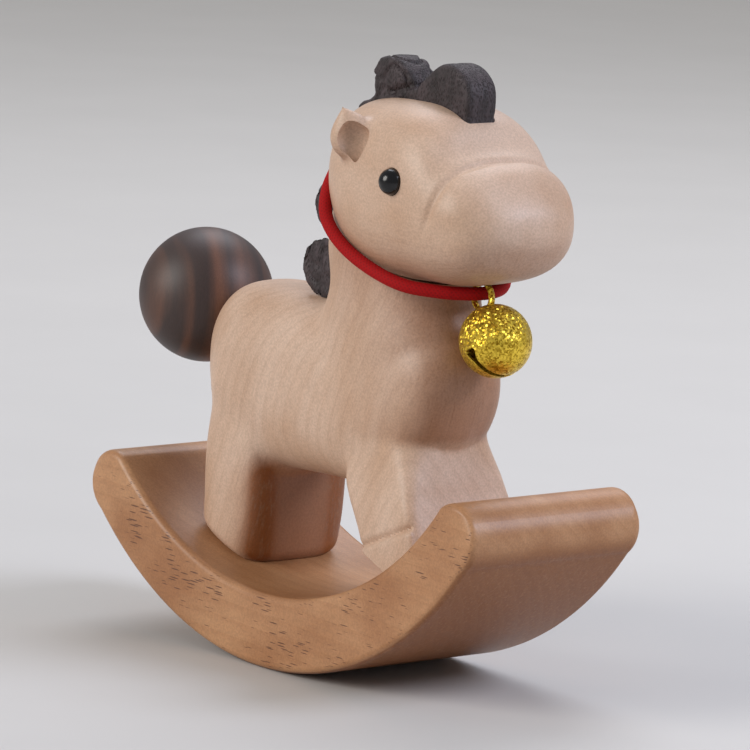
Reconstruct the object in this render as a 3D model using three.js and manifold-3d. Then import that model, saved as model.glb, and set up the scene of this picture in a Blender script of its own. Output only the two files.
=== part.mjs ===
// A small wooden desk ornament: a chunky toy horse on a single curved rocker.
// Millimetres, +Z up, +X towards the horse's nose, +Y to the horse's left.
// The origin is on the ground, on the small flat under the rocker where it rests.

import * as THREE from 'three';
import { ParametricGeometry } from 'three/addons/geometries/ParametricGeometry.js';
import { mergeVertices } from 'three/addons/utils/BufferGeometryUtils.js';
import Module from 'manifold-3d';

const wasm = await Module();
wasm.setup();

// ---------------------------------------------------------------- driving dimensions

// Clearances
const GLUE_GAP = 0.3; // between pieces that are glued or pressed together
const DOWEL_END_GAP = 0.5; // past the end of a dowel, in each blind hole
const CORD_GAP = 0.3; // between the collar cord and the wood
const WIRE_GAP = 0.2; // between the bell's wire loop and what it passes through

// Rocker: a thick plank sawn to a curve, tighter on its inner side than its outer one
const ROCKER_RADIUS = 52;
const ROCKER_INNER_RADIUS = 45.5;
const ROCKER_THICKNESS = 9.6; // at the point of contact
const ROCKER_WIDTH = 27;
const ROCKER_REAR_DEG = 43.4; // from the contact back to the rear tip
const ROCKER_FRONT_DEG = 51.4; // and forward to the front tip
const ROCKER_FACET_DEG = 3;
const ROCKER_EDGE = 0.8; // eased long edges

// Horse: overall sizes of the trunk, neck and legs
const TRUNK_REAR_X = -24.4;
const TRUNK_FRONT_X = 25;
const TRUNK_TOP_Z = 47;
const BELLY_Z = 23.6;
const TRUNK_WIDTH = 17;
const NECK_LENGTH = 23; // fore and aft, under the jaw
const NECK_WIDTH = 16;
const NECK_X = 10.5;
const REAR_LEGS_X = -15.6;
const REAR_LEGS_LENGTH = 12.4; // fore and aft
const REAR_LEGS_WIDTH = 17.2;
const FRONT_LEGS_X = 20.9; // at the feet
const FRONT_LEGS_LENGTH = 11.8;
const FRONT_LEGS_WIDTH = 17.4;
const HEEL_RISE = 3.2; // how far the cut under the front legs lifts the heel

// Head: an egg lying along +X, with a broader muzzle at its front
const HEAD_REAR_X = 1.2;
const HEAD_FRONT_X = 36.3;
const HEAD_TOP_Z = 73.4;
const JAW_Z = 51.7;
const HEAD_WIDTH = 21.5;
const MUZZLE_WIDTH = 20;
const EYE_X = 20.4;
const EYE_Z = 64.6;
const EYE_RADIUS = 1.7;
const EYE_SINK = 0.2; // of the bead's centre below the widest part of the head
const EYE_SHANK_RADIUS = 0.6;
const EYE_SHANK_LENGTH = 3;
const EAR_X = 8.6;
const EAR_Z = 68;
const EAR_SINK = 2; // of the ear's middle below the widest part of the head

// Mane: flat lobes let into slots on the centre plane
const MANE_THICKNESS = 5;
const MANE_HEIGHT = 5.4; // of the crest above the head
const MANE_SET_IN = 2.6; // how deep a lobe sits in its slot

// Tail ball
const TAIL_RADIUS = 8.9;
const TAIL_X = -31.8;
const TAIL_Z = 42.8;

// Dowels
const NECK_DOWEL_RADIUS = 2.5;
const NECK_DOWEL_LENGTH = 14;
const TAIL_DOWEL_RADIUS = 1.5;
const TAIL_DOWEL_LENGTH = 10;
const LEG_DOWEL_RADIUS = 1.25;
const LEG_DOWEL_LENGTH = 9;
const LEG_DOWEL_SPREAD = 9.6; // between the left and right dowels
const FRONT_LEG_DOWEL_X = 22.6;

// Collar cord and bell
const CORD_RADIUS = 0.85;
const KNOT_RADIUS = 1.7;
const BELL_RADIUS = 4.6;
const BELL_WALL = 0.4;
const BELL_DROP = 6.3; // from the cord's centre to the bell's centre
const BELL_LEAN_DEG = 29; // the chest holds the bell's foot forward
const LOOP_WIRE_RADIUS = 0.25;
const LOOP_DROP = 0.45; // of the loop's centre below the cord's
const BELL_SLIT = 0.7;
const BELL_SLIT_END_RADIUS = 0.8; // of the hole at each end of the slit
const PELLET_RADIUS = 1.2;
const PELLET_ROOM = 0.9; // from the sheet, so that it also rolls past the loop's lowest wire

// ---------------------------------------------------------------- helpers

const rad = THREE.MathUtils.degToRad;

// A closed geometry becomes a solid that can be joined and cut.
function solid(geometry) {
  const bare = geometry.index ? geometry.toNonIndexed() : geometry.clone();
  for (const name of Object.keys(bare.attributes)) {
    if (name !== 'position') bare.deleteAttribute(name);
  }
  const merged = mergeVertices(bare, 1e-4);
  const index = merged.index.array;
  const kept = [];
  for (let i = 0; i < index.length; i += 3) {
    const [a, b, c] = [index[i], index[i + 1], index[i + 2]];
    if (a !== b && b !== c && c !== a) kept.push(a, b, c);
  }
  return new wasm.Manifold(new wasm.Mesh({
    numProp: 3,
    vertProperties: new Float32Array(merged.attributes.position.array),
    triVerts: new Uint32Array(kept),
  }));
}

function union(...solids) {
  return solids.reduce((whole, next) => whole.add(next));
}

// Moves a geometry: turned about X, Y and Z in degrees, then put at a point.
function placed(geometry, position, turn = [0, 0, 0]) {
  const matrix = new THREE.Matrix4().makeRotationFromEuler(new THREE.Euler(...turn.map(rad)));
  matrix.setPosition(...position);
  return geometry.applyMatrix4(matrix);
}

// A skin through rounded cross-sections. Each station is [along, centreA, centreB, halfA,
// halfB, squareness]: 2 is an ellipse and more is boxier. The first and last stations have
// no size, so they close the ends. place(along, a, b) turns a section's point to a vector.
function loft(stations, place, around, steps) {
  const middles = new THREE.CatmullRomCurve3(
    stations.map((s) => new THREE.Vector3(s[0], s[1], s[2])), false, 'catmullrom', 0.5);
  const sizes = new THREE.CatmullRomCurve3(
    stations.map((s) => new THREE.Vector3(s[3], s[4], s[5])), false, 'catmullrom', 0.5);
  const surface = (u, v, target) => {
    const closed = v <= 0 || v >= 1;
    const middle = middles.getPoint(THREE.MathUtils.clamp(v, 0, 1));
    const size = sizes.getPoint(THREE.MathUtils.clamp(v, 0, 1));
    const angle = 2 * Math.PI * (u >= 1 ? 0 : u);
    const power = 2 / size.z;
    const cos = Math.cos(angle);
    const sin = Math.sin(angle);
    const a = closed ? 0 : Math.max(size.x, 0) * Math.sign(cos) * Math.abs(cos) ** power;
    const b = closed ? 0 : Math.max(size.y, 0) * Math.sign(sin) * Math.abs(sin) ** power;
    target.copy(place(middle.x, middle.y + a, middle.z + b));
  };
  return solid(new ParametricGeometry(surface, around, steps));
}
const alongX = (x, y, z) => new THREE.Vector3(x, y, z);
const alongZ = (z, x, y) => new THREE.Vector3(x, y, z);

// A flat outline in X and Z, given a thickness in Y about the plane y = middle.
function slab(shape, thickness, middle = 0, edge = 0, curveSegments = 6) {
  const geometry = new THREE.ExtrudeGeometry(shape, {
    depth: thickness - 2 * edge,
    bevelEnabled: edge > 0,
    bevelThickness: edge,
    bevelSize: edge,
    bevelOffset: -edge,
    bevelSegments: 1,
    curveSegments,
  });
  return solid(placed(geometry, [0, middle + thickness / 2 - edge, 0], [90, 0, 0]));
}

function ball(radius, position, around = 16, rings = 10) {
  return solid(placed(new THREE.SphereGeometry(radius, around, rings), position));
}

// A round pin with eased ends, from one point along a direction.
function dowel(radius, length, start, direction, sides = 14) {
  const ease = Math.min(0.4, radius / 3);
  const profile = [
    [0, 0], [radius - ease, 0], [radius, ease], [radius, length - ease],
    [radius - ease, length], [0, length],
  ].map(([r, h]) => new THREE.Vector2(r, h));
  const geometry = new THREE.LatheGeometry(profile, sides);
  const turn = new THREE.Quaternion().setFromUnitVectors(
    new THREE.Vector3(0, 1, 0), direction.clone().normalize());
  geometry.applyMatrix4(new THREE.Matrix4().makeRotationFromQuaternion(turn));
  geometry.translate(start.x, start.y, start.z);
  return solid(geometry);
}

const group = new THREE.Group();

function add(name, shape, material) {
  const { numProp, vertProperties, triVerts } = shape.getMesh();
  const points = new Float32Array((vertProperties.length / numProp) * 3);
  for (let i = 0; i < points.length / 3; i += 1) {
    points.set(vertProperties.subarray(i * numProp, i * numProp + 3), i * 3);
  }
  const geometry = new THREE.BufferGeometry();
  geometry.setAttribute('position', new THREE.BufferAttribute(points, 3));
  geometry.setIndex(new THREE.BufferAttribute(new Uint32Array(triVerts), 1));
  geometry.computeVertexNormals();
  const mesh = new THREE.Mesh(geometry, material);
  mesh.name = name;
  group.add(mesh);
}

// ---------------------------------------------------------------- materials

const wood = (color, roughness) => new THREE.MeshStandardMaterial({ color, roughness, metalness: 0 });
const BEECH = wood(0xb28058, 0.55);
const MAPLE = wood(0xd3b191, 0.5);
const WENGE = wood(0x3f3531, 0.8);
const WALNUT = wood(0x55392c, 0.35);
const DOWEL_WOOD = wood(0xc8a378, 0.7);
const BLACK_BEAD = new THREE.MeshStandardMaterial({ color: 0x0d0e12, roughness: 0.12, metalness: 0 });
const RED_CORD = new THREE.MeshStandardMaterial({ color: 0xb4141c, roughness: 0.8, metalness: 0 });
const GILT = new THREE.MeshStandardMaterial({ color: 0xd9a926, roughness: 0.4, metalness: 1 });
const STEEL = new THREE.MeshStandardMaterial({ color: 0x9a9a98, roughness: 0.3, metalness: 1 });

// ---------------------------------------------------------------- rocker

// The point at an angle on the outer or inner curve. Angles run forward from the contact.
// The outer curve is drawn round the arc, so its lowest facet lies flat on the ground.
const innerCentreZ = ROCKER_THICKNESS + ROCKER_INNER_RADIUS;
const facetRadius = ROCKER_RADIUS / Math.cos(rad(ROCKER_FACET_DEG / 2));

function onOuter(deg, grow = 0) {
  const r = facetRadius + grow;
  return new THREE.Vector2(r * Math.sin(rad(deg)), ROCKER_RADIUS - r * Math.cos(rad(deg)));
}

function onInner(deg, lift = 0) {
  const r = ROCKER_INNER_RADIUS - lift;
  return new THREE.Vector2(r * Math.sin(rad(deg)), innerCentreZ - r * Math.cos(rad(deg)));
}

// Half-facet angles from the rear end to the front one, so that one facet is centred below.
function facetAngles() {
  const angles = [-ROCKER_REAR_DEG];
  const first = -Math.ceil(ROCKER_REAR_DEG / ROCKER_FACET_DEG) - 0.5;
  for (let k = first; k * ROCKER_FACET_DEG < ROCKER_FRONT_DEG - 1; k += 1) {
    if (k * ROCKER_FACET_DEG > 1 - ROCKER_REAR_DEG) angles.push(k * ROCKER_FACET_DEG);
  }
  return [...angles, ROCKER_FRONT_DEG];
}

// The rounded nose between the two curves at one end.
function tip(from, to, steps = 6) {
  const centre = from.clone().add(to).multiplyScalar(0.5);
  const arm = from.clone().sub(centre);
  const points = [];
  for (let i = 1; i < steps; i += 1) {
    points.push(centre.clone().add(arm.clone().rotateAround(new THREE.Vector2(), Math.PI * i / steps)));
  }
  return points;
}

function makeRocker() {
  const angles = facetAngles();
  const outer = angles.map((deg) => onOuter(deg));
  const inner = angles.map((deg) => onInner(deg)).reverse();
  const outline = [
    ...outer,
    ...tip(outer.at(-1), inner[0]),
    ...inner,
    ...tip(inner.at(-1), outer[0]),
  ];
  return slab(new THREE.Shape(outline), ROCKER_WIDTH, 0, ROCKER_EDGE);
}

// Everything under the rocker's top face and a glue line above it, to trim the feet.
function makeFootTrim() {
  const angles = facetAngles();
  const outline = [
    new THREE.Vector2(-ROCKER_RADIUS, -5),
    new THREE.Vector2(ROCKER_RADIUS, -5),
    ...angles.map((deg) => onInner(deg, GLUE_GAP)).reverse(),
  ];
  return slab(new THREE.Shape(outline), ROCKER_WIDTH + 10);
}

// ---------------------------------------------------------------- collar line

// The joint between head and neck runs under the collar cord. It is the same in every
// plane along Y: steep behind the cheeks, then nearly level below the jaw.
const jointLine = new THREE.SplineCurve([
  [-12, 75], [-4, 68], [0, 64.6], [4, 60.6], [9, 56], [15, 53.1], [20, 51.7], [25.5, 51], [34, 49],
].map(([x, z]) => new THREE.Vector2(x, z)));

function belowJoint(shift) {
  const points = jointLine.getPoints(24).map((p) => new THREE.Vector2(p.x, p.y + shift));
  return new THREE.Shape([...points, new THREE.Vector2(60, 48), new THREE.Vector2(60, -20),
    new THREE.Vector2(-60, -20), new THREE.Vector2(-60, 70)]);
}

// ---------------------------------------------------------------- horse body

function makeTrunk() {
  const midZ = (TRUNK_TOP_Z + BELLY_Z) / 2;
  const halfZ = (TRUNK_TOP_Z - BELLY_Z) / 2;
  const halfY = TRUNK_WIDTH / 2;
  const rear = TRUNK_REAR_X;
  const front = TRUNK_FRONT_X;
  return loft([
    [rear, 0, midZ + 1.1, 0, 0, 2],
    [rear + 0.7, 0, midZ + 1.1, 0.48 * halfY, 0.45 * halfZ, 2.2],
    [rear + 3.2, 0, midZ + 1, 0.8 * halfY, 0.75 * halfZ, 2.4],
    [rear + 8, 0, midZ + 0.3, halfY, 0.97 * halfZ, 2.7],
    [-8, 0, midZ, halfY, halfZ, 2.7],
    [2, 0, midZ, halfY, 0.98 * halfZ, 2.6],
    [10, 0, midZ, 0.98 * halfY, 0.98 * halfZ, 2.5],
    [front - 8, 0, midZ + 1.2, 0.94 * halfY, 0.9 * halfZ, 2.5],
    [front - 3, 0, midZ + 2.5, 0.78 * halfY, 0.65 * halfZ, 2.3],
    [front - 0.7, 0, midZ + 3.1, 0.45 * halfY, 0.345 * halfZ, 2.1],
    [front, 0, midZ + 3.1, 0, 0, 2],
  ], alongX, 24, 26);
}

function makeNeck() {
  const halfX = NECK_LENGTH / 2;
  const halfY = NECK_WIDTH / 2;
  return loft([
    [29, 12, 0, 0, 0, 2],
    [30, 12, 0, 0.8 * halfX, 0.8 * halfY, 2.2],
    [36, 11.5, 0, 1.12 * halfX, halfY, 2.3],
    [43, 10.5, 0, 1.12 * halfX, halfY, 2.3],
    [49, NECK_X, 0, 0.97 * halfX, 0.98 * halfY, 2.2],
    [55, NECK_X, 0, halfX, 1.03 * halfY, 2.2],
    [62, NECK_X + 1.5, 0, 0.9 * halfX, 1.1 * halfY, 2.2],
    [64, NECK_X + 2, 0, 0.7 * halfX, 0.9 * halfY, 2.2],
    [65, NECK_X, 0, 0, 0, 2],
  ], alongZ, 24, 18);
}

function makeRearLegs() {
  const x = REAR_LEGS_X;
  const halfX = REAR_LEGS_LENGTH / 2;
  const halfY = REAR_LEGS_WIDTH / 2;
  return loft([
    [5, x - 0.6, 0, 0, 0, 4],
    [5.2, x - 0.6, 0, 0.88 * halfX, 0.97 * halfY, 4],
    [9, x - 0.4, 0, 0.95 * halfX, halfY, 4],
    [14, x - 0.1, 0, halfX, 1.02 * halfY, 4],
    [18, x + 0.2, 0, halfX, halfY, 3.8],
    [24, x + 0.4, 0, halfX, 0.98 * halfY, 3.6],
    [30, x + 0.6, 0, 1.05 * halfX, 0.96 * halfY, 3.2],
    [36, x + 0.6, 0, 1.06 * halfX, 0.94 * halfY, 2.8],
    [37, x + 0.6, 0, 0, 0, 2],
  ], alongZ, 24, 16);
}

function makeFrontLegs() {
  const x = FRONT_LEGS_X;
  const halfX = FRONT_LEGS_LENGTH / 2;
  const halfY = FRONT_LEGS_WIDTH / 2;
  return loft([
    [6, x, 0, 0, 0, 5],
    [6.2, x, 0, halfX, 0.99 * halfY, 5],
    [14, x, 0, halfX, halfY, 5],
    [18.5, x - 1.4, 0, 1.03 * halfX, halfY, 5],
    [21, x - 2.5, 0, 1.08 * halfX, halfY, 5],
    [23.5, x - 3.8, 0, 1.14 * halfX, 0.98 * halfY, 5],
    [26, x - 5, 0, 1.2 * halfX, 0.94 * halfY, 4.4],
    [31, x - 6, 0, 1.16 * halfX, 0.87 * halfY, 3.4],
    [38, x - 5.9, 0, 1.08 * halfX, 0.87 * halfY, 2.8],
    [39, x - 5.9, 0, 0, 0, 2],
  ], alongZ, 24, 18);
}

// The slanting cut that lifts the heel of the front legs off the rocker.
function makeHeelCut() {
  const toe = onInner(28);
  return slab(new THREE.Shape([
    new THREE.Vector2(toe.x, toe.y),
    new THREE.Vector2(toe.x - 12, toe.y + HEEL_RISE * 1.5),
    new THREE.Vector2(toe.x - 14, toe.y - 8),
    new THREE.Vector2(toe.x, toe.y - 8),
  ]), ROCKER_WIDTH);
}

// ---------------------------------------------------------------- head

function makeSkull() {
  const rear = HEAD_REAR_X;
  const front = HEAD_FRONT_X;
  const top = HEAD_TOP_Z;
  const halfY = HEAD_WIDTH / 2;
  const muzzleY = MUZZLE_WIDTH / 2;
  // each station: x, top z, bottom z, half width, squareness
  const outline = [
    [rear, 64, 64, 0, 2],
    [rear + 0.8, 68.5, 58, 0.5 * halfY, 2.2],
    [rear + 3, top - 1.4, 55, 0.74 * halfY, 2.3],
    [rear + 8, top - 0.2, 52.2, 0.94 * halfY, 2.6],
    [rear + 14, top, JAW_Z + 0.1, halfY, 2.9],
    [rear + 19, top - 0.3, JAW_Z, halfY, 3],
    [rear + 23, top - 1.2, JAW_Z, 0.98 * halfY, 2.9],
    [front - 9, top - 4.1, JAW_Z + 0.4, muzzleY, 2.7],
    [front - 4, top - 7.4, JAW_Z + 1.5, 0.88 * muzzleY, 2.6],
    [front - 1, 62.6, JAW_Z + 4.8, 0.52 * muzzleY, 2.2],
    [front, 59.6, 59.6, 0, 2],
  ];
  return loft(outline.map(([x, high, low, y, n]) => (
    [x, 0, (high + low) / 2, y, (high - low) / 2, n]
  )), alongX, 28, 28);
}

// A leaf-shaped ear, its hollow facing forward and out.
function makeEar(side) {
  const y = side * (HEAD_WIDTH / 2 - EAR_SINK);
  const shell = solid(placed(new THREE.SphereGeometry(1, 12, 8).scale(1.9, 2.2, 4.2),
    [EAR_X, y, EAR_Z], [0, 20, side * -18]));
  const hollow = solid(placed(new THREE.SphereGeometry(1, 12, 8).scale(1.5, 1.8, 3),
    [EAR_X + 1.7, y + side * 1.5, EAR_Z - 0.2], [0, 20, side * -18]));
  return shell.subtract(hollow);
}

// ---------------------------------------------------------------- mane

// Two rounded lobes on the poll and the forelock, above a tongue that fills the slot.
function headManeOutline(grow = 0) {
  const base = HEAD_TOP_Z - MANE_SET_IN;
  const front = HEAD_REAR_X + 23.4 + grow;
  const crest = HEAD_TOP_Z + MANE_HEIGHT;
  const shape = new THREE.Shape();
  shape.moveTo(1 - grow, base - grow);
  shape.lineTo(1 - grow, HEAD_TOP_Z - 1.6);
  shape.lineTo(5, HEAD_TOP_Z + 0.4 + grow);
  shape.bezierCurveTo(4.4, crest - 2.4, 6.2, crest - 0.1, 9, crest - 0.1);
  shape.bezierCurveTo(11.4, crest - 0.3, 13, crest - 1.4, 14.4, crest - 3.2);
  shape.bezierCurveTo(16.6, crest - 1, 19.4, crest + 0.1, 21.6, crest - 0.2);
  shape.bezierCurveTo(24.4, crest - 1, front, crest - 2.6, front - 0.4, HEAD_TOP_Z);
  shape.lineTo(front - 1, base - 2.4 - grow);
  shape.lineTo(front - 7, base - 1 - grow);
  return shape;
}

// One lobe of the mane down the back of the neck.
const NECK_LOBES = [
  { name: 'mane_neck_upper', x: -1.4, z: 58.4, length: 3.8, height: 3 },
  { name: 'mane_neck_lower', x: -3.3, z: 50.3, length: 4, height: 3.3 },
];

function makeLobe(lobe, grow = 0) {
  const shape = new THREE.Shape();
  shape.absellipse(lobe.x, lobe.z, lobe.length + grow, lobe.height + grow, 0, 2 * Math.PI, false, 0);
  return slab(shape, MANE_THICKNESS + 2 * grow, 0, grow > 0 ? 0 : 0.5, 10);
}

// ---------------------------------------------------------------- collar and bell

// The cord's route, from the knot on the far side round the nape, the near side and the throat.
const collarPoints = [
  [7, 9.3, 57.2], [3.7, 7.8, 60.9], [2.2, 5.4, 63.5], [0.6, 2.6, 64.7], [0.2, 0, 64.9],
  [0.6, -2.6, 64.7], [2.2, -5.4, 63.5], [3.7, -7.8, 60.9], [5.8, -9.2, 58], [9.7, -9.6, 55.3],
  [15, -9.3, 53.1], [20, -8, 51.6], [23.6, -5, 51.05], [25.4, -2.2, 50.9], [25.8, 0, 50.85],
  [25.4, 2.2, 50.9], [23.6, 5, 51.05], [20, 8, 51.6], [15, 9.3, 53.1], [10.4, 9.6, 55],
].map((p) => new THREE.Vector3(...p));
const throat = new THREE.Vector3(25.8, 0, 50.85);
const knotCentre = new THREE.Vector3(8.7, 10.4, 56.2); // where the cord's two ends meet

function makeCord(radius, sides, steps) {
  const section = new THREE.Shape();
  for (let i = 0; i < sides; i += 1) {
    const angle = 2 * Math.PI * i / sides;
    const point = [radius * Math.cos(angle), radius * Math.sin(angle)];
    if (i === 0) section.moveTo(...point);
    else section.lineTo(...point);
  }
  const extrudePath = new THREE.CatmullRomCurve3(collarPoints, false, 'centripetal');
  return solid(new THREE.ExtrudeGeometry(section, { steps, bevelEnabled: false, extrudePath }));
}

// The bell is built hanging straight down from the cord's centre at the origin.
function hang(shape) {
  return shape.rotate([0, -BELL_LEAN_DEG, 0]).translate([throat.x, throat.y, throat.z]);
}

function makeBellShell() {
  const points = [];
  const steps = 12;
  const outerAt = (i, r) => new THREE.Vector2(
    i === 0 || i === steps ? 0 : r * Math.sin(Math.PI * i / steps), -r * Math.cos(Math.PI * i / steps));
  for (let i = 0; i <= steps; i += 1) points.push(outerAt(i, BELL_RADIUS));
  const outside = solid(placed(new THREE.LatheGeometry(points, 24), [0, 0, -BELL_DROP], [90, 0, 0]));
  const inside = solid(placed(
    new THREE.LatheGeometry(points.map((p) => p.clone().multiplyScalar(1 - BELL_WALL / BELL_RADIUS)), 24),
    [0, 0, -BELL_DROP], [90, 0, 0]));
  const reach = LOOP_WIRE_RADIUS + WIRE_GAP;
  const loopSlot = solid(new THREE.BoxGeometry(
    2 * (loopOuter + WIRE_GAP), 2 * reach, 2 * (LOOP_DROP + loopOuter + WIRE_GAP)));
  // one slit under the foot, from side to side, that ends in a round hole on each side
  const slitTop = -BELL_DROP - 0.37 * BELL_RADIUS;
  const slit = solid(placed(new THREE.BoxGeometry(BELL_SLIT, 2 * BELL_RADIUS + 2, BELL_RADIUS),
    [0, 0, slitTop - BELL_RADIUS / 2]));
  const ends = solid(placed(new THREE.CylinderGeometry(
    BELL_SLIT_END_RADIUS, BELL_SLIT_END_RADIUS, 2 * BELL_RADIUS + 2, 16), [0, 0, slitTop]));
  return outside.subtract(inside).subtract(loopSlot).subtract(slit).subtract(ends);
}

const loopMajor = CORD_RADIUS + WIRE_GAP + LOOP_WIRE_RADIUS + LOOP_DROP;
const loopOuter = loopMajor + LOOP_WIRE_RADIUS;

// ---------------------------------------------------------------- pieces

const footTrim = makeFootTrim();
const neckBelow = slab(belowJoint(-GLUE_GAP / 2), 60, 0, 0, 24);
const headBelow = slab(belowJoint(GLUE_GAP / 2), 60, 0, 0, 24);
const cordRoom = makeCord(CORD_RADIUS + CORD_GAP, 8, 60)
  .add(ball(KNOT_RADIUS + CORD_GAP, knotCentre.toArray(), 12, 8));
// a small notch under the jaw, in which the bell's loop swings round the cord
const loopRoom = solid(new THREE.CylinderGeometry(loopOuter + WIRE_GAP, loopOuter + WIRE_GAP,
  2 * (LOOP_WIRE_RADIUS + WIRE_GAP), 20)).translate(throat.toArray());

const legDowels = [];
for (const [end, x] of [['rear', REAR_LEGS_X], ['front', FRONT_LEG_DOWEL_X]]) {
  for (const [hand, side] of [['left', 1], ['right', -1]]) {
    const deg = THREE.MathUtils.radToDeg(Math.asin(x / ROCKER_INNER_RADIUS));
    const seat = onInner(deg);
    const up = new THREE.Vector3(-Math.sin(rad(deg)), 0, Math.cos(rad(deg)));
    const start = new THREE.Vector3(seat.x, side * LEG_DOWEL_SPREAD / 2, seat.y)
      .addScaledVector(up, -LEG_DOWEL_LENGTH / 2);
    legDowels.push({ name: `leg_dowel_${end}_${hand}`, start, up });
  }
}
const dowelHole = (radius, length, start, direction) => dowel(
  radius + GLUE_GAP, length + 2 * DOWEL_END_GAP,
  start.clone().addScaledVector(direction, -DOWEL_END_GAP), direction);

const neckUp = new THREE.Vector3(0.36, 0, 0.93).normalize();
const neckDowelStart = new THREE.Vector3(11.2, 0, 53.6).addScaledVector(neckUp, -NECK_DOWEL_LENGTH / 2);
const tailIn = new THREE.Vector3(1, 0, -0.35).normalize();
const tailDowelStart = new THREE.Vector3(TAIL_X, 0, TAIL_Z)
  .addScaledVector(tailIn, TAIL_RADIUS - TAIL_DOWEL_LENGTH / 2);

let rocker = makeRocker();
let body = union(makeTrunk(), makeNeck().intersect(neckBelow), makeRearLegs(),
  makeFrontLegs().subtract(makeHeelCut())).subtract(footTrim);
let head = union(makeSkull().subtract(headBelow), makeEar(1), makeEar(-1));
let tail = ball(TAIL_RADIUS, [TAIL_X, 0, TAIL_Z], 24, 14);
const headMane = slab(headManeOutline(), MANE_THICKNESS, 0, 0.5, 6);
const headManeRoom = slab(headManeOutline(GLUE_GAP), MANE_THICKNESS + 2 * GLUE_GAP, 0, 0, 6);

for (const { start, up } of legDowels) {
  const hole = dowelHole(LEG_DOWEL_RADIUS, LEG_DOWEL_LENGTH, start, up);
  rocker = rocker.subtract(hole);
  body = body.subtract(hole);
}
const neckHole = dowelHole(NECK_DOWEL_RADIUS, NECK_DOWEL_LENGTH, neckDowelStart, neckUp);
const tailHole = dowelHole(TAIL_DOWEL_RADIUS, TAIL_DOWEL_LENGTH, tailDowelStart, tailIn);
body = body.subtract(neckHole).subtract(tailHole).subtract(cordRoom)
  .subtract(ball(TAIL_RADIUS + GLUE_GAP, [TAIL_X, 0, TAIL_Z], 24, 14));
head = head.subtract(neckHole).subtract(cordRoom).subtract(loopRoom).subtract(headManeRoom);
tail = tail.subtract(tailHole);
for (const lobe of NECK_LOBES) {
  const room = makeLobe(lobe, GLUE_GAP);
  body = body.subtract(room);
  head = head.subtract(room);
}

const eyes = [];
for (const [hand, side] of [['left', 1], ['right', -1]]) {
  const y = side * (HEAD_WIDTH / 2 - EYE_SINK);
  const inward = new THREE.Vector3(0, -side, 0);
  const bead = ball(EYE_RADIUS, [EYE_X, y, EYE_Z], 12, 8);
  const shankStart = new THREE.Vector3(EYE_X, y - side * 0.6 * EYE_RADIUS, EYE_Z);
  const eye = bead.add(dowel(EYE_SHANK_RADIUS, EYE_SHANK_LENGTH, shankStart, inward, 10));
  head = head.subtract(ball(EYE_RADIUS + GLUE_GAP, [EYE_X, y, EYE_Z], 12, 8))
    .subtract(dowelHole(EYE_SHANK_RADIUS, EYE_SHANK_LENGTH, shankStart, inward));
  eyes.push({ name: `eye_${hand}`, eye });
}

add('rocker', rocker, BEECH);
add('horse_body', body, MAPLE);
add('head', head, MAPLE);
add('mane_head', headMane, WENGE);
for (const lobe of NECK_LOBES) add(lobe.name, makeLobe(lobe), WENGE);
add('tail_ball', tail, WALNUT);
for (const { name, eye } of eyes) add(name, eye, BLACK_BEAD);
for (const { name, start, up } of legDowels) {
  add(name, dowel(LEG_DOWEL_RADIUS, LEG_DOWEL_LENGTH, start, up), DOWEL_WOOD);
}
add('neck_dowel', dowel(NECK_DOWEL_RADIUS, NECK_DOWEL_LENGTH, neckDowelStart, neckUp), DOWEL_WOOD);
add('tail_dowel', dowel(TAIL_DOWEL_RADIUS, TAIL_DOWEL_LENGTH, tailDowelStart, tailIn), DOWEL_WOOD);
add('collar_cord', makeCord(CORD_RADIUS, 8, 60), RED_CORD);
add('collar_knot', ball(KNOT_RADIUS, knotCentre.toArray(), 12, 8), RED_CORD);
add('bell_loop', hang(solid(placed(
  new THREE.TorusGeometry(loopMajor, LOOP_WIRE_RADIUS, 6, 18), [0, 0, -LOOP_DROP], [90, 0, 0]))), GILT);
add('bell_shell', hang(makeBellShell()), GILT);
add('bell_pellet', hang(ball(PELLET_RADIUS,
  [0, 0, -BELL_DROP - BELL_RADIUS + BELL_WALL + PELLET_RADIUS + PELLET_ROOM])), STEEL);

export default group;
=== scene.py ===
"""Looks of a small wooden rocking horse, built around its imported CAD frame.

Run as a script in Blender 4.5. It is laid out as an add-on: properties for sizes and
colours, one operator per group of pieces, one panel, and a main function that runs them.
Shapes are worked out in millimetres and put into meshes in metres.
+X runs towards the nose, +Y to the horse's left and +Z up.
"""

import math

import bpy
import numpy as np
from mathutils import Matrix, Vector


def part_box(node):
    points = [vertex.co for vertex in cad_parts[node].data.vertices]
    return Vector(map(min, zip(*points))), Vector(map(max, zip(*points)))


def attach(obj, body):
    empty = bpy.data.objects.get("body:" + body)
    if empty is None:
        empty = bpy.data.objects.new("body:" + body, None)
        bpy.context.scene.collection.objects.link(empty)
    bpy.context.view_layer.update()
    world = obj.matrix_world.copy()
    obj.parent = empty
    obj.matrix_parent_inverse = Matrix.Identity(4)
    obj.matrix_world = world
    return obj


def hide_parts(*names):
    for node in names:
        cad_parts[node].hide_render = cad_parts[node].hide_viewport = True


bl_info = {
    "name": "Wooden rocking horse",
    "version": (1, 0, 0),
    "blender": (4, 5, 0),
    "location": "View3D > Sidebar > Rocking horse",
    "description": "Builds a small wooden rocking horse with a collar and bell around its CAD frame",
    "category": "Object",
}

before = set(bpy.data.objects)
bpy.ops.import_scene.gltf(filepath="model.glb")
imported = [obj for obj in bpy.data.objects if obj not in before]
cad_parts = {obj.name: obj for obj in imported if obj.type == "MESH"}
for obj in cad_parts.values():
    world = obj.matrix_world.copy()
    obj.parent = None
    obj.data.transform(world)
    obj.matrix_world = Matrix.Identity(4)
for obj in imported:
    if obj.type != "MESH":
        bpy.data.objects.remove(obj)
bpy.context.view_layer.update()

MM = 0.001
MIX_FACTOR, MIX_A, MIX_B, MIX_RESULT = 0, 6, 7, 2  # sockets of a colour Mix node


# ---------------------------------------------------------------- small helpers


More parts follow.
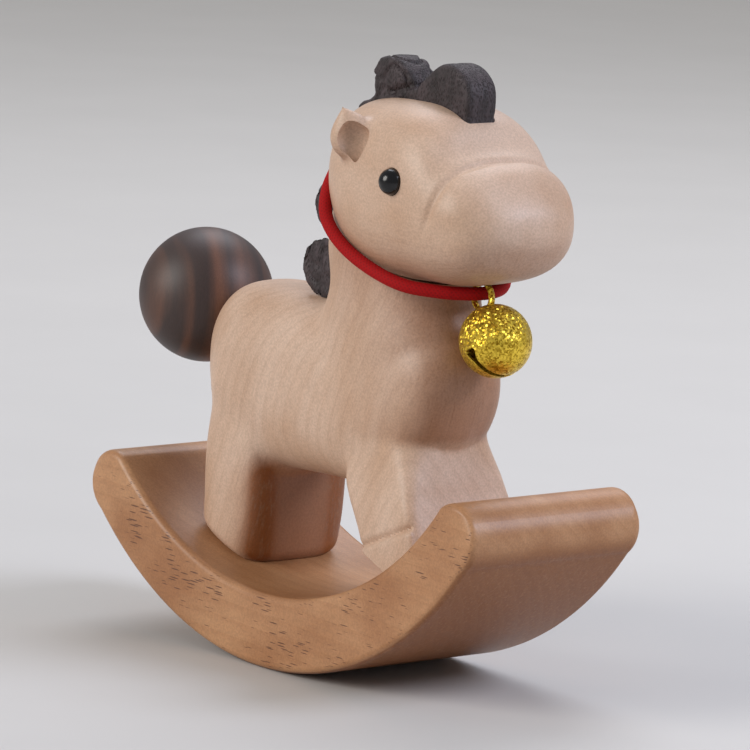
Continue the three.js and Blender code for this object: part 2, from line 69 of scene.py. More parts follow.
def colour(code):
    """An sRGB hex colour as linear red, green, blue and alpha."""
    parts = np.array([int(code[i:i + 2], 16) for i in (1, 3, 5)]) / 255
    linear = np.where(parts <= 0.04045, parts / 12.92, ((parts + 0.055) / 1.055) ** 2.4)
    return (*(float(c) for c in linear), 1.0)


def add(tree, kind, inputs=(), out=0, **settings):
    """Adds one node and gives its output out, by name or place. inputs pairs a socket's name or
    place with a value or with another node's output."""
    node = tree.nodes.new("ShaderNode" + kind)
    for key, value in settings.items():
        setattr(node, key, value)
    for key, value in dict(inputs).items():
        socket = node.inputs[key]
        if isinstance(value, bpy.types.NodeSocket):
            tree.links.new(value, socket)
        else:
            socket.default_value = value
    return node.outputs[out] if node.outputs else None


def new_material(name):
    """A material with an empty node tree. Returns (material, tree)."""
    material = bpy.data.materials.new(name)
    material.use_nodes = True
    material.node_tree.nodes.clear()
    return material, material.node_tree


def smoothstep(low, high, x):
    """0 up to low, 1 from high on, and a smooth S between them."""
    t = np.clip((x - low) / (high - low), 0, 1)
    return t * t * (3 - 2 * t)


def spline(points, t):
    """The curve through all the points, by the uniform Catmull-Rom cubic. t is 0 at the first
    point and 1 at the last."""
    p = np.asarray(points, float)
    p = np.vstack([2 * p[0] - p[1], p, 2 * p[-1] - p[-2]])
    s = np.clip(t, 0, 1) * (len(p) - 3)
    i = np.minimum(s.astype(int), len(p) - 4)
    w = (s - i)[:, None]
    a, b, c, d = p[i], p[i + 1], p[i + 2], p[i + 3]
    return b + 0.5 * w * (c - a + w * (2 * a - 5 * b + 4 * c - d + w * (3 * (b - c) + d - a)))


def skin(rings):
    """Joins rings of points, one after another, into a closed skin. The first and last rings
    shrink to their middles. Returns (points, faces)."""
    count, around = rings.shape[:2]
    middle = rings[1:-1].reshape(-1, 3)
    points = np.vstack([middle, rings[0].mean(0), rings[-1].mean(0)])
    row = np.arange(count - 3)[:, None] * around
    j = np.arange(around)
    k = (j + 1) % around
    quads = np.stack([row + j, row + k, row + around + k, row + around + j], -1).reshape(-1, 4)
    first, last, end = len(middle), len(middle) + 1, (count - 3) * around
    caps = np.vstack([
        np.stack([np.full(around, first), k, j], -1),
        np.stack([np.full(around, last), end + j, end + k], -1),
    ])
    return points, quads.tolist() + caps.tolist()


def loft(stations, place, around=64, steps=110):
    """A skin through rounded cross-sections. Each station is (along, centre a, centre b,
    half a, half b, squareness). At angle v the section's point is the centre plus
    half * sign(cos v) |cos v|^(2/squareness), and the same with the sine: squareness 2 is an
    ellipse and more is boxier. Stations of no size close the ends."""
    s = spline(stations, np.linspace(0, 1, steps))
    angle = np.linspace(0, 2 * np.pi, around, endpoint=False)
    power = 2 / s[:, 5:6]
    cos, sin = np.cos(angle), np.sin(angle)
    a = s[:, 1:2] + np.maximum(s[:, 3:4], 0) * np.sign(cos) * np.abs(cos) ** power
    b = s[:, 2:3] + np.maximum(s[:, 4:5], 0) * np.sign(sin) * np.abs(sin) ** power
    return skin(np.stack(place(s[:, :1] + 0 * a, a, b), -1))


def along_x(along, a, b):
    return along, a, b


def along_z(along, a, b):
    return a, b, along


def ball(radius, centre, around=64, rings=40):
    """A sphere by its latitude and longitude."""
    u = np.linspace(0, np.pi, rings)[:, None]
    v = np.linspace(0, 2 * np.pi, around, endpoint=False)
    return skin(np.array(centre) + radius * np.stack(
        [np.sin(u) * np.cos(v), np.sin(u) * np.sin(v), np.cos(u) + 0 * v], -1))


def frames(path):
    """Unit tangents and two unit normals along a path, carried along it with as little turn as
    possible: each normal is the last one with its part along the new tangent taken off."""
    ahead = np.roll(path, -1, 0) - np.roll(path, 1, 0)
    ahead[0], ahead[-1] = path[1] - path[0], path[-1] - path[-2]
    tangent = ahead / np.linalg.norm(ahead, axis=1, keepdims=True)
    normal = np.cross(tangent[0], [0.3, 0.2, 1.0])
    normals = []
    for t in tangent:
        normal = normal - t * (normal @ t)
        normal = normal / np.linalg.norm(normal)
        normals.append(normal)
    normals = np.array(normals)
    return tangent, normals, np.cross(tangent, normals)


def tube(path, radius, around=24, caps=6):
    """A round section carried along a path, with a half-round cap at each end. radius is a
    number or a grid of radii with a row for each point of the path."""
    tangent, n, b = frames(path)
    angle = np.linspace(0, 2 * np.pi, around, endpoint=False)
    r = np.broadcast_to(np.asarray(radius, float), (len(path), around))
    cos, sin = np.cos(angle)[:, None], np.sin(angle)[:, None]

    def ring(i, share, push):
        return path[i] + tangent[i] * push + share * r[i][:, None] * (n[i] * cos + b[i] * sin)

    bend = np.linspace(0, np.pi / 2, caps)
    size = r[0].mean()
    start = [ring(0, math.cos(x), -size * math.sin(x)) for x in bend[:0:-1]]
    middle = path[:, None] + r[..., None] * (n[:, None] * cos + b[:, None] * sin)
    end = [ring(-1, math.cos(x), size * math.sin(x)) for x in bend[1:]]
    return skin(np.concatenate([np.array(start), middle, np.array(end)]))


def prism(outline, low, high):
    """A closed outline in X and Z carried straight from y = low to y = high, with flat ends."""
    outline = np.asarray(outline, float)
    mid = outline.mean(0)
    rings = [np.insert(np.tile(mid, (len(outline), 1)), 1, low, 1)]
    rings += [np.insert(outline, 1, y, 1) for y in np.linspace(low, high, 3)]
    rings += [np.insert(np.tile(mid, (len(outline), 1)), 1, high, 1)]
    return skin(np.array(rings))


def join(parts):
    """Several (points, faces) as one."""
    points, faces, start = [], [], 0
    for p, f in parts:
        points.append(p)
        faces += [[i + start for i in face] for face in f]
        start += len(p)
    return np.vstack(points), faces


def outwards(points, faces):
    """The faces, turned over if the volume that they close comes out negative."""
    tri = np.array([(f[0], f[i], f[i + 1]) for f in faces for i in range(1, len(f) - 1)])
    a, b, c = points[tri[:, 0]], points[tri[:, 1]], points[tri[:, 2]]
    volume = np.einsum("ij,ij->i", a, np.cross(b, c)).sum()
    return faces if volume > 0 else [f[::-1] for f in faces]


def mesh_object(name, part):
    """Puts (points, faces) in mm into a new object in metres, at the origin."""
    points, faces = part
    mesh = bpy.data.meshes.new(name)
    mesh.from_pydata((points * MM).tolist(), [], outwards(points, faces))
    obj = bpy.data.objects.new(name, mesh)
    bpy.context.scene.collection.objects.link(obj)
    return obj


def settle(obj):
    """Makes the object's modifiers part of its mesh."""
    bpy.context.view_layer.update()
    evaluated = obj.evaluated_get(bpy.context.evaluated_depsgraph_get())
    mesh = bpy.data.meshes.new_from_object(evaluated)
    obj.modifiers.clear()
    obj.data = mesh
    return obj


def one_skin(name, parts, voxel):
    """One skin round parts that overlap, made of cells of size voxel in mm."""
    obj = mesh_object(name, join(parts))
    modifier = obj.modifiers.new("skin", "REMESH")
    modifier.mode = "VOXEL"
    modifier.voxel_size = voxel * MM
    return settle(obj)


def carve(obj, cutter, operation="DIFFERENCE"):
    """Takes the closed cutter off the object, or keeps only what is inside it."""
    tool = mesh_object("cutter", cutter)
    modifier = obj.modifiers.new("carve", "BOOLEAN")
    modifier.operation = operation
    modifier.object = tool
    modifier.solver = "MANIFOLD"
    settle(obj)
    bpy.data.objects.remove(tool)
    return obj


def points_of(obj):
    """The mesh's points in mm."""
    flat = np.empty(len(obj.data.vertices) * 3, np.float32)
    obj.data.vertices.foreach_get("co", flat)
    return flat.reshape(-1, 3).astype(float) / MM


def normals_of(obj):
    """The mesh's unit normals at its points."""
    flat = np.empty(len(obj.data.vertices) * 3, np.float32)
    obj.data.vertices.foreach_get("normal", flat)
    return flat.reshape(-1, 3).astype(float)


def put_points(obj, points):
    obj.data.vertices.foreach_set("co", (points * MM).astype(np.float32).ravel())
    obj.data.update()


def edges_of(obj):
    flat = np.empty(len(obj.data.edges) * 2, np.int32)
    obj.data.edges.foreach_get("vertices", flat)
    return flat.reshape(-1, 2)


def relax(values, edges, weight, rounds):
    """Moves each point's values towards the mean of its neighbours, by weight, some rounds."""
    a, b = edges[:, 0], edges[:, 1]
    count = len(values)
    degree = np.bincount(a, minlength=count) + np.bincount(b, minlength=count)
    for _ in range(rounds):
        total = np.stack([
            np.bincount(a, values[b, i], count) + np.bincount(b, values[a, i], count)
            for i in range(values.shape[1])
        ], 1)
        values = values + weight * (total / degree[:, None] - values)
    return values


def sand(obj, first, fillet, reach, spread, soft=None):
    """Sands a stepped skin smooth: a few rounds everywhere, then many where it is hollow, so
    that inner corners fill up to a fillet. reach is the hollow, in mm, that is sanded in full.
    soft gives each point's share of the sanding, from its place, to keep some edges crisp."""
    edges = edges_of(obj)
    points = points_of(obj)
    share = np.ones((len(points), 1)) if soft is None else soft(points)[:, None]
    points = relax(points, edges, 0.5 * share, first)
    put_points(obj, points)
    normals = normals_of(obj)
    hollow = relax(points, edges, 1.0, 1) - points
    hollow = np.einsum("ij,ij->i", hollow, normals)[:, None]
    hollow = relax(hollow, edges, 0.7, 4)
    weight = np.clip(hollow / reach, 0, 1)
    weight = np.clip(2.5 * relax(weight, edges, 0.7, spread), 0, 0.9) * share ** 2
    put_points(obj, relax(points, edges, weight, fillet))
    return obj


def waves(points, period, seed, octaves=3):
    """Smooth noise from about -1 to 1: a sum of sines along random directions, each finer
    octave half as strong. period is the longest wave in mm."""
    random = np.random.default_rng(seed)
    total = np.zeros(len(points))
    for octave in range(octaves):
        directions = random.normal(size=(7, 3))
        directions /= np.linalg.norm(directions, axis=1, keepdims=True)
        phase = random.uniform(0, 2 * np.pi, 7)
        length = period / 2 ** octave * random.uniform(0.7, 1.4, 7)
        total += np.sin(2 * np.pi * points @ (directions / length[:, None]).T + phase).sum(1) / 2 ** octave
    return total / 7


def keep_values(obj, name, values, kind="FLOAT_VECTOR"):
    """Stores a value at each point of the mesh, for its material."""
    attribute = obj.data.attributes.new(name, kind, "POINT")
    field = "vector" if kind == "FLOAT_VECTOR" else "value"
    attribute.data.foreach_set(field, values.astype(np.float32).ravel())


def keep_grain(obj, along, across=(0, 1, 0), shade_and_oil=0.0):
    """Stores each point's place in mm along the wood's grain and across it, and how much
    painted shade, on the body's chest partly oil, is mixed in there, as a share from 0 to 1."""
    x = np.array(along, float) / np.linalg.norm(along)
    y = np.array(across, float)
    z = np.cross(x, y)
    keep_values(obj, "grain", points_of(obj) @ np.stack([x, y, z], 1))
    keep_values(obj, "shade_and_oil", np.broadcast_to(shade_and_oil, len(obj.data.vertices)), "FLOAT")


def show(obj, material, body, nodes, crease=35):
    """Finishes a piece: its material, smooth faces with sharp creases, the body that it rides
    on and the CAD nodes that it stands for, which it hides."""
    obj.data.materials.clear()
    obj.data.materials.append(material)
    obj.data.shade_smooth()
    obj.data.set_sharp_from_angle(angle=math.radians(crease))
    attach(obj, body)
    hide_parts(*nodes)


# ---------------------------------------------------------------- sizes and colours


def length(name, description, default):
    return bpy.props.FloatProperty(
        name=name, description=description, default=default * MM, unit="LENGTH", precision=5)


def paint(name, description, default):
    return bpy.props.FloatVectorProperty(
        name=name, description=description, default=colour(default), subtype="COLOR", size=4,
        min=0, max=1)


class RockingHorseSizes(bpy.types.PropertyGroup):
    """Sizes of the toy that a maker would change."""

    rocker_outer: length("Rocker outer radius", "Radius of the curve it rocks on", 52)
    rocker_inner: length("Rocker inner radius", "Radius of its top face", 45.5)
    rocker_thickness: length("Rocker thickness", "Thickness at the point of contact", 9.6)
    rocker_width: length("Rocker width", "Width across", 27)
    rocker_edge: length("Rocker edge", "Radius of its eased long edges", 1.0)
    trunk_width: length("Trunk width", "Width of the trunk", 17)
    neck_width: length("Neck width", "Width of the neck", 16)
    head_width: length("Head width", "Width of the head at the eyes", 21.5)
    muzzle_width: length("Muzzle width", "Width of the muzzle", 20)
    mane_thickness: length("Mane thickness", "Thickness of the mane's slabs", 5)
    tail_radius: length("Tail radius", "Radius of the turned ball", 8.9)
    eye_radius: length("Eye radius", "Radius of a bead", 1.7)
    cord_radius: length("Cord radius", "Radius of the collar cord", 0.85)
    bell_radius: length("Bell radius", "Outer radius of the bell", 4.6)
    bell_wall: length("Bell wall", "Thickness of the stamped sheet", 0.4)


class RockingHorseColours(bpy.types.PropertyGroup):
    """Colours of the finishes."""

    beech: paint("Beech", "Oiled beech of the rocker", "#B98A62")
    beech_dark: paint("Beech, dark", "Darker growth bands of the rocker", "#9F6D46")
    # painted shade for the rocker's underside
    beech_shade: paint("Beech, deep", "Its underside, where the oil stood", "#8A5226")
    beech_fleck: paint("Beech flecks", "Short dark flecks", "#4E2A1C")
    maple: paint("Maple", "Light wood of the horse", "#CFB29C")
    maple_warm: paint("Maple, warm", "Clouds in the light wood", "#C09D82")
    maple_line: paint("Maple lines", "Fine growth lines", "#8E6548")
    # painted shade under the belly, on the neck and under the jaw; on the chest partly oil
    maple_shade_and_oil: paint("Maple, deep", "Where oil soaked into the shaded cuts", "#8A5025")
    wenge: paint("Wenge", "Dark wood of the mane", "#463A3D")
    wenge_dark: paint("Wenge pores", "Pores and bands of the mane", "#231A1B")
    walnut: paint("Walnut", "Dark wood of the tail", "#3A2B27")
    walnut_light: paint("Walnut, light", "Light stripes of the tail", "#6B4634")
    dowel: paint("Dowel", "Plain beech pins", "#C8A378")
    bead: paint("Bead", "Black glass of the eyes", "#08080A")
    cord: paint("Cord", "Braided red elastic", "#A40408")
    # painted shade in the hollows between the strands
    cord_hollow_shade: paint("Cord, dark", "Hollows between its strands", "#8A0409")
    gold: paint("Gold", "Gilt of the bell", "#F4D24C")
    gold_dark: paint("Gold, dark", "Shaded grains of the gilt", "#A07A14")
    steel: paint("Steel", "The loose pellet", "#9A9A98")
    floor: paint("Floor", "Plain pale floor", "#C9C7C4")


# ---------------------------------------------------------------- materials


def wood(name, light, warm, line, deep, line_share, gloss, bump):
    """Sanded and oiled wood. Clouds some 8 mm wide change it from light to warm. Growth lines
    about a millimetre apart follow the grain. A point attribute mixes in the deep colour and
    lets dark streaks show: painted shade under and between the parts, and on the body's chest
    partly oil. Fibres far longer than wide and dots a third of a millimetre wide give a silky,
    faintly stippled stroke."""
    material, tree = new_material(name)
    grain = add(tree, "Attribute", attribute_name="grain", out="Vector")
    # how much painted shade to mix in at each point, which on the body's chest is partly oil
    shade_and_oil = add(tree, "Attribute", attribute_name="shade_and_oil", out="Fac")
    cloud_place = add(tree, "VectorMath", {0: grain, 1: (0.07, 0.13, 0.13)}, operation="MULTIPLY")
    cloud = add(tree, "TexNoise", {
        "Vector": cloud_place, "Scale": 1.0, "Detail": 3.0, "Roughness": 0.5}, out="Fac")
    cloud = add(tree, "MapRange", {"Value": cloud, "From Min": 0.36, "From Max": 0.7})
    line_place = add(tree, "VectorMath", {0: grain, 1: (0.03, 1.0, 1.0)}, operation="MULTIPLY")
    lines = add(tree, "TexWave", {
        "Vector": line_place, "Scale": 0.3, "Distortion": 2.2, "Detail": 3.0,
        "Detail Scale": 0.6, "Detail Roughness": 0.6}, wave_type="BANDS",
        bands_direction="DIAGONAL", wave_profile="SAW", out="Fac")
    lines = add(tree, "MapRange", {"Value": lines, "From Min": 0.5, "From Max": 1.0})
    lines = add(tree, "Math", {0: lines, 1: line_share}, operation="MULTIPLY")
    # dark streaks, which show only where that painted shade, or oil on the chest, is mixed in
    streak_place = add(tree, "VectorMath", {0: grain, 1: (0.06, 2.2, 2.2)}, operation="MULTIPLY")
    streak = add(tree, "TexNoise", {
        "Vector": streak_place, "Scale": 1.0, "Detail": 3.0, "Roughness": 0.7}, out="Fac")
    streak = add(tree, "MapRange", {"Value": streak, "From Min": 0.5, "From Max": 0.68, "To Max": 0.85})
    streak = add(tree, "Math", {0: streak, 1: shade_and_oil}, operation="MULTIPLY")
    lines = add(tree, "Math", {0: lines, 1: streak}, operation="MAXIMUM")
    fibre_place = add(tree, "VectorMath", {0: grain, 1: (0.35, 5.0, 5.0)}, operation="MULTIPLY")
    fibre = add(tree, "TexNoise", {
        "Vector": fibre_place, "Scale": 1.0, "Detail": 2.0, "Roughness": 0.6}, out="Fac")
    dots = add(tree, "TexNoise", {
        "Vector": grain, "Scale": 3.6, "Detail": 1.0, "Roughness": 0.6}, out="Fac")
    base = light
    # the deep colour goes on as painted shade, on the chest partly oil
    for share, over in ((cloud, warm), (shade_and_oil, deep), (lines, line)):
        base = add(tree, "Mix", {MIX_FACTOR: share, MIX_A: base, MIX_B: over}, MIX_RESULT,
                   data_type="RGBA")
    stroke = add(tree, "MapRange", {
        "Value": fibre, "From Min": 0.3, "From Max": 0.7, "To Min": 0.95, "To Max": 1.04})
    stipple = add(tree, "MapRange", {
        "Value": dots, "From Min": 0.35, "From Max": 0.65, "To Min": 0.9, "To Max": 1.06})
    tone = add(tree, "Math", {0: stroke, 1: stipple}, operation="MULTIPLY")
    cut = add(tree, "VectorMath", {0: base, "Scale": tone}, operation="SCALE")
    raised = add(tree, "Bump", {"Height": fibre, "Strength": bump, "Distance": 0.04 * MM})
    rough = add(tree, "MapRange", {"Value": fibre, "To Min": gloss - 0.06, "To Max": gloss + 0.08})
    shader = add(tree, "BsdfPrincipled", {
        "Base Color": cut, "Roughness": rough, "Normal": raised, "IOR": 1.5})
    add(tree, "OutputMaterial", {"Surface": shader})
    return material, tree, shader, grain, cut


def make_maple(colours, name, line_share):
    """Maple, carved and sanded, with a thin oil: pale, clouded, with a soft sheen."""
    # the deep colour is painted shade, on the body's chest partly oil
    return wood(name, colours.maple, colours.maple_warm, colours.maple_line, colours.maple_shade_and_oil,
                line_share, 0.44, 0.2)[0]


def make_beech(colours):
    """Beech, sawn to a curve, sanded and oiled: warm brown with short dark flecks."""
    # the deep colour is painted shade on the rocker's underside
    material, tree, shader, grain, base = wood(
        "oiled beech sawn and sanded", colours.beech, colours.beech_dark, colours.beech_dark,
        colours.beech_shade, 0.3, 0.4, 0.25)
    # flecks are 1 to 3 mm long and 0.2 mm wide, and lie in patches
    place = add(tree, "VectorMath", {0: grain, 1: (0.3, 3.6, 3.6)}, operation="MULTIPLY")
    fleck = add(tree, "TexVoronoi", {"Vector": place, "Scale": 1.0, "Randomness": 1.0})
    patch = add(tree, "TexNoise", {"Vector": grain, "Scale": 0.16, "Detail": 2.0}, out="Fac")
    reach = add(tree, "MapRange", {
        "Value": patch, "From Min": 0.34, "From Max": 0.62, "To Min": 0.0, "To Max": 0.36})
    mask = add(tree, "Math", {0: reach, 1: fleck}, operation="SUBTRACT")
    mask = add(tree, "MapRange", {"Value": mask, "From Min": 0.0, "From Max": 0.1, "To Max": 0.85})
    sawn = add(tree, "Attribute", attribute_name="fleck", out="Fac")
    mask = add(tree, "Math", {0: mask, 1: sawn}, operation="MULTIPLY")
    flecked = add(tree, "Mix", {MIX_FACTOR: mask, MIX_A: base, MIX_B: colours.beech_fleck},
                  MIX_RESULT, data_type="RGBA")
    tree.links.new(flecked, shader.node.inputs["Base Color"])
    return material


def make_wenge(colours):
    """Wenge, sawn and left a little rough: near black, open-pored, with faint brown bands."""
    material, tree = new_material("rough wenge")
    grain = add(tree, "Attribute", attribute_name="grain", out="Vector")
    place = add(tree, "VectorMath", {0: grain, 1: (0.14, 1.5, 0.5)}, operation="MULTIPLY")
    band = add(tree, "TexNoise", {
        "Vector": place, "Scale": 0.9, "Detail": 4.0, "Roughness": 0.7}, out="Fac")
    band = add(tree, "MapRange", {"Value": band, "From Min": 0.35, "From Max": 0.65})
    pore_place = add(tree, "VectorMath", {0: grain, 1: (1.6, 4.5, 4.5)}, operation="MULTIPLY")
    pore = add(tree, "TexVoronoi", {"Vector": pore_place, "Scale": 1.0})
    base = add(tree, "Mix", {
        MIX_FACTOR: band, MIX_A: colours.wenge_dark, MIX_B: colours.wenge}, MIX_RESULT, data_type="RGBA")
    depth = add(tree, "MapRange", {"Value": pore, "From Min": 0.1, "From Max": 0.55})
    pored = add(tree, "Mix", {
        MIX_FACTOR: depth, MIX_A: colours.wenge_dark, MIX_B: base}, MIX_RESULT, data_type="RGBA")
    raised = add(tree, "Bump", {"Height": depth, "Strength": 0.8, "Distance": 0.12 * MM})
    shader = add(tree, "BsdfPrincipled", {
        "Base Color": pored, "Roughness": 0.62, "Normal": raised, "IOR": 1.5})
    add(tree, "OutputMaterial", {"Surface": shader})
    return material


def make_walnut(colours):
    """Walnut, turned and waxed: dark brown with lighter stripes along the grain and a gloss."""
    material, tree = new_material("turned and waxed walnut")
    grain = add(tree, "Attribute", attribute_name="grain", out="Vector")
    place = add(tree, "VectorMath", {0: grain, 1: (0.05, 1.0, 0.12)}, operation="MULTIPLY")
    stripe = add(tree, "TexNoise", {
        "Vector": place, "Scale": 0.3, "Detail": 2.0, "Roughness": 0.5}, out="Fac")
    stripe = add(tree, "MapRange", {"Value": stripe, "From Min": 0.5, "From Max": 0.72})
    base = add(tree, "Mix", {
        MIX_FACTOR: stripe, MIX_A: colours.walnut, MIX_B: colours.walnut_light}, MIX_RESULT, data_type="RGBA")
    fibre_place = add(tree, "VectorMath", {0: grain, 1: (0.4, 6.0, 6.0)}, operation="MULTIPLY")
    fibre = add(tree, "TexNoise", {"Vector": fibre_place, "Scale": 1.0}, out="Fac")
    tone = add(tree, "MapRange", {
        "Value": fibre, "From Min": 0.3, "From Max": 0.7, "To Min": 0.85, "To Max": 1.1})
    stroked = add(tree, "VectorMath", {0: base, "Scale": tone}, operation="SCALE")
    raised = add(tree, "Bump", {"Height": fibre, "Strength": 0.15, "Distance": 0.05 * MM})
    shader = add(tree, "BsdfPrincipled", {
        "Base Color": stroked, "Roughness": 0.52, "Normal": raised, "IOR": 1.5,
        "Coat Weight": 0.1, "Coat Roughness": 0.4})
    add(tree, "OutputMaterial", {"Surface": shader})
    return material


def make_dowel_wood(colours):
    """Beech dowel, turned and left bare. It is hidden in its holes; a fine noise varies its tone."""
    material, tree = new_material("bare beech dowel")
    place = add(tree, "TexCoord", out="Object")
    fibre = add(tree, "TexNoise", {"Vector": place, "Scale": 1.4 / MM, "Detail": 3.0}, out="Fac")
    tone = add(tree, "MapRange", {"Value": fibre, "To Min": 0.8, "To Max": 1.15})
    toned = add(tree, "VectorMath", {0: colours.dowel[:3], "Scale": tone}, operation="SCALE")
    shader = add(tree, "BsdfPrincipled", {"Base Color": toned, "Roughness": 0.7})
    add(tree, "OutputMaterial", {"Surface": shader})
    return material


def make_glass_bead(colours):
    """Black glass, moulded and fire-polished: a deep gloss with the faintest ripple."""
    material, tree = new_material("polished black glass")
    place = add(tree, "TexCoord", out="Object")
    ripple = add(tree, "TexNoise", {"Vector": place, "Scale": 0.9 / MM}, out="Fac")
    raised = add(tree, "Bump", {"Height": ripple, "Strength": 0.05, "Distance": 0.05 * MM})
    rough = add(tree, "MapRange", {"Value": ripple, "To Min": 0.12, "To Max": 0.24})
    shader = add(tree, "BsdfPrincipled", {
        "Base Color": colours.bead, "Roughness": rough, "Normal": raised, "IOR": 1.5})
    add(tree, "OutputMaterial", {"Surface": shader})
    return material


def make_cord_red(colours):
    """Polyester braid over elastic: matt red, with painted shade where strands dip under one another."""
    material, tree = new_material("braided red polyester")
    height = add(tree, "Attribute", attribute_name="strand", out="Fac")
    place = add(tree, "TexCoord", out="Object")
    fuzz = add(tree, "TexNoise", {"Vector": place, "Scale": 5 / MM, "Detail": 2.0}, out="Fac")
    # painted shade in the hollows between strands, where the strand height is low
    lift = add(tree, "MapRange", {"Value": height, "From Min": 0.05, "From Max": 0.6})
    base = add(tree, "Mix", {
        MIX_FACTOR: lift, MIX_A: colours.cord_hollow_shade, MIX_B: colours.cord}, MIX_RESULT, data_type="RGBA")
    tone = add(tree, "MapRange", {"Value": fuzz, "To Min": 0.85, "To Max": 1.15})
    toned = add(tree, "VectorMath", {0: base, "Scale": tone}, operation="SCALE")
    raised = add(tree, "Bump", {"Height": fuzz, "Strength": 0.3, "Distance": 0.03 * MM})
    shader = add(tree, "BsdfPrincipled", {
        "Base Color": toned, "Roughness": 0.8, "Normal": raised, "Specular IOR Level": 0.25,
        "IOR": 1.5})
    add(tree, "OutputMaterial", {"Surface": shader})
    return material


def make_gilt(colours):
    """Brass, stamped and frosted with gilt grit: grains a fifth of a millimetre wide face
    every way on the upper half, so some flash and some are dark; the foot is smoother."""
    material, tree = new_material("frosted gilt brass")
    place = add(tree, "TexCoord", out="Object")
    frost = add(tree, "Attribute", attribute_name="frost", out="Fac")
    cells = add(tree, "TexVoronoi", {"Vector": place, "Scale": 4.4 / MM}, "Color")
    facing = add(tree, "VectorMath", {0: cells, 1: (0.5, 0.5, 0.5)}, operation="SUBTRACT")
    strength = add(tree, "MapRange", {"Value": frost, "To Min": 0.2, "To Max": 1.15})
    facing = add(tree, "VectorMath", {0: facing, "Scale": strength}, operation="SCALE")
    straight = add(tree, "NewGeometry", out="Normal")
    turned = add(tree, "VectorMath", {0: straight, 1: facing}, operation="ADD")
    turned = add(tree, "VectorMath", {0: turned}, operation="NORMALIZE")
    tint = add(tree, "SeparateColor", {"Color": cells}, out="Green")
    tint = add(tree, "MapRange", {"Value": tint, "From Min": 0.0, "From Max": 0.7})
    base = add(tree, "Mix", {
        MIX_FACTOR: tint, MIX_A: colours.gold_dark, MIX_B: colours.gold}, MIX_RESULT, data_type="RGBA")
    shader = add(tree, "BsdfPrincipled", {
        "Base Color": base, "Metallic": 0.9, "Roughness": 0.34, "Normal": turned})
    add(tree, "OutputMaterial", {"Surface": shader})
    return material


def make_steel(colours):
    """Plain steel shot, tumbled: a grey metal with a fine grain."""
    material, tree = new_material("tumbled steel")
    place = add(tree, "TexCoord", out="Object")
    grit = add(tree, "TexNoise", {"Vector": place, "Scale": 6 / MM, "Detail": 2.0}, out="Fac")
    rough = add(tree, "MapRange", {"Value": grit, "To Min": 0.22, "To Max": 0.42})
    shader = add(tree, "BsdfPrincipled", {
        "Base Color": colours.steel, "Metallic": 1.0, "Roughness": rough})
    add(tree, "OutputMaterial", {"Surface": shader})
    return material


def make_floor_paint(colours):
    """Matt card, rolled: pale and plain, with a very faint unevenness."""
    material, tree = new_material("pale matt card")
    place = add(tree, "TexCoord", out="Object")
    blotch = add(tree, "TexNoise", {"Vector": place, "Scale": 0.03 / MM, "Detail": 3.0}, out="Fac")
    tone = add(tree, "MapRange", {"Value": blotch, "To Min": 0.97, "To Max": 1.03})
    toned = add(tree, "VectorMath", {0: colours.floor[:3], "Scale": tone}, operation="SCALE")
    shader = add(tree, "BsdfPrincipled", {"Base Color": toned, "Roughness": 0.85})
    add(tree, "OutputMaterial", {"Surface": shader})
    return material


# ---------------------------------------------------------------- rocker

REAR_END, FRONT_END = math.radians(-43.4), math.radians(51.4)
TOUCH = 0.02  # mm left between glued faces


def inner_height(sizes, x, lift=0.0):
    """Height in mm of the rocker's top face at x, raised along its radius by lift."""
    r = sizes.rocker_inner / MM - lift
    centre = (sizes.rocker_thickness + sizes.rocker_inner) / MM
    return centre - np.sqrt(np.maximum(r * r - x * x, 0))


def rocker_surface(sizes):
    """A rounded rectangle carried along the arc. At angle t the middle of the section lies
    halfway between the outer circle and the inner one, and the section is as thick as they are
    apart. Past each end the thickness falls as a half circle does, so the tip is round."""
    outer, inner = sizes.rocker_outer / MM, sizes.rocker_inner / MM
    centre = sizes.rocker_thickness / MM + inner
    angle = np.linspace(REAR_END, FRONT_END, 120)
    far = np.stack([outer * np.sin(angle), outer - outer * np.cos(angle)], 1)
    near = np.stack([inner * np.sin(angle), centre - inner * np.cos(angle)], 1)
    middle, across = (far + near) / 2, (near - far) / 2
    half = np.linalg.norm(across, axis=1)
    unit = across / half[:, None]
    ahead = np.stack([unit[:, 1], -unit[:, 0]], 1)
    bend = np.linspace(0, np.pi / 2, 18)[1:]
    before = middle[0] - ahead[0] * (half[0] * np.sin(bend[::-1]))[:, None]
    after = middle[-1] + ahead[-1] * (half[-1] * np.sin(bend))[:, None]
    middle = np.vstack([before, middle, after])
    unit = np.vstack([np.tile(unit[0], (17, 1)), unit, np.tile(unit[-1], (17, 1))])
    share = np.concatenate([np.cos(bend[::-1]), np.ones(len(half)), np.cos(bend)])
    thick = np.concatenate([np.full(17, half[0]), half, np.full(17, half[-1])]) * share
    width = sizes.rocker_width / MM / 2 - 0.9 * (1 - share) ** 2
    # the section: four corners of seven points, six steps each, with a flat of one step between them
    edge = np.minimum(sizes.rocker_edge / MM, thick * 0.98)[:, None]
    turn = np.linspace(0, np.pi / 2, 7)
    cos = np.concatenate([np.cos(turn + k * np.pi / 2) for k in range(4)])
    sin = np.concatenate([np.sin(turn + k * np.pi / 2) for k in range(4)])
    side = np.repeat([1, -1, -1, 1], 7)
    face = np.repeat([1, 1, -1, -1], 7)
    y = side * (width[:, None] - edge) + edge * cos
    d = face * (thick[:, None] - edge) + edge * sin
    rows = middle[:, None] + unit[:, None] * d[..., None]
    rings = np.stack([rows[..., 0], y, rows[..., 1]], -1)
    return skin(np.concatenate([rings[:1].mean(1, keepdims=True).repeat(28, 1), rings,
                                rings[-1:].mean(1, keepdims=True).repeat(28, 1)]))


# ---------------------------------------------------------------- body and head

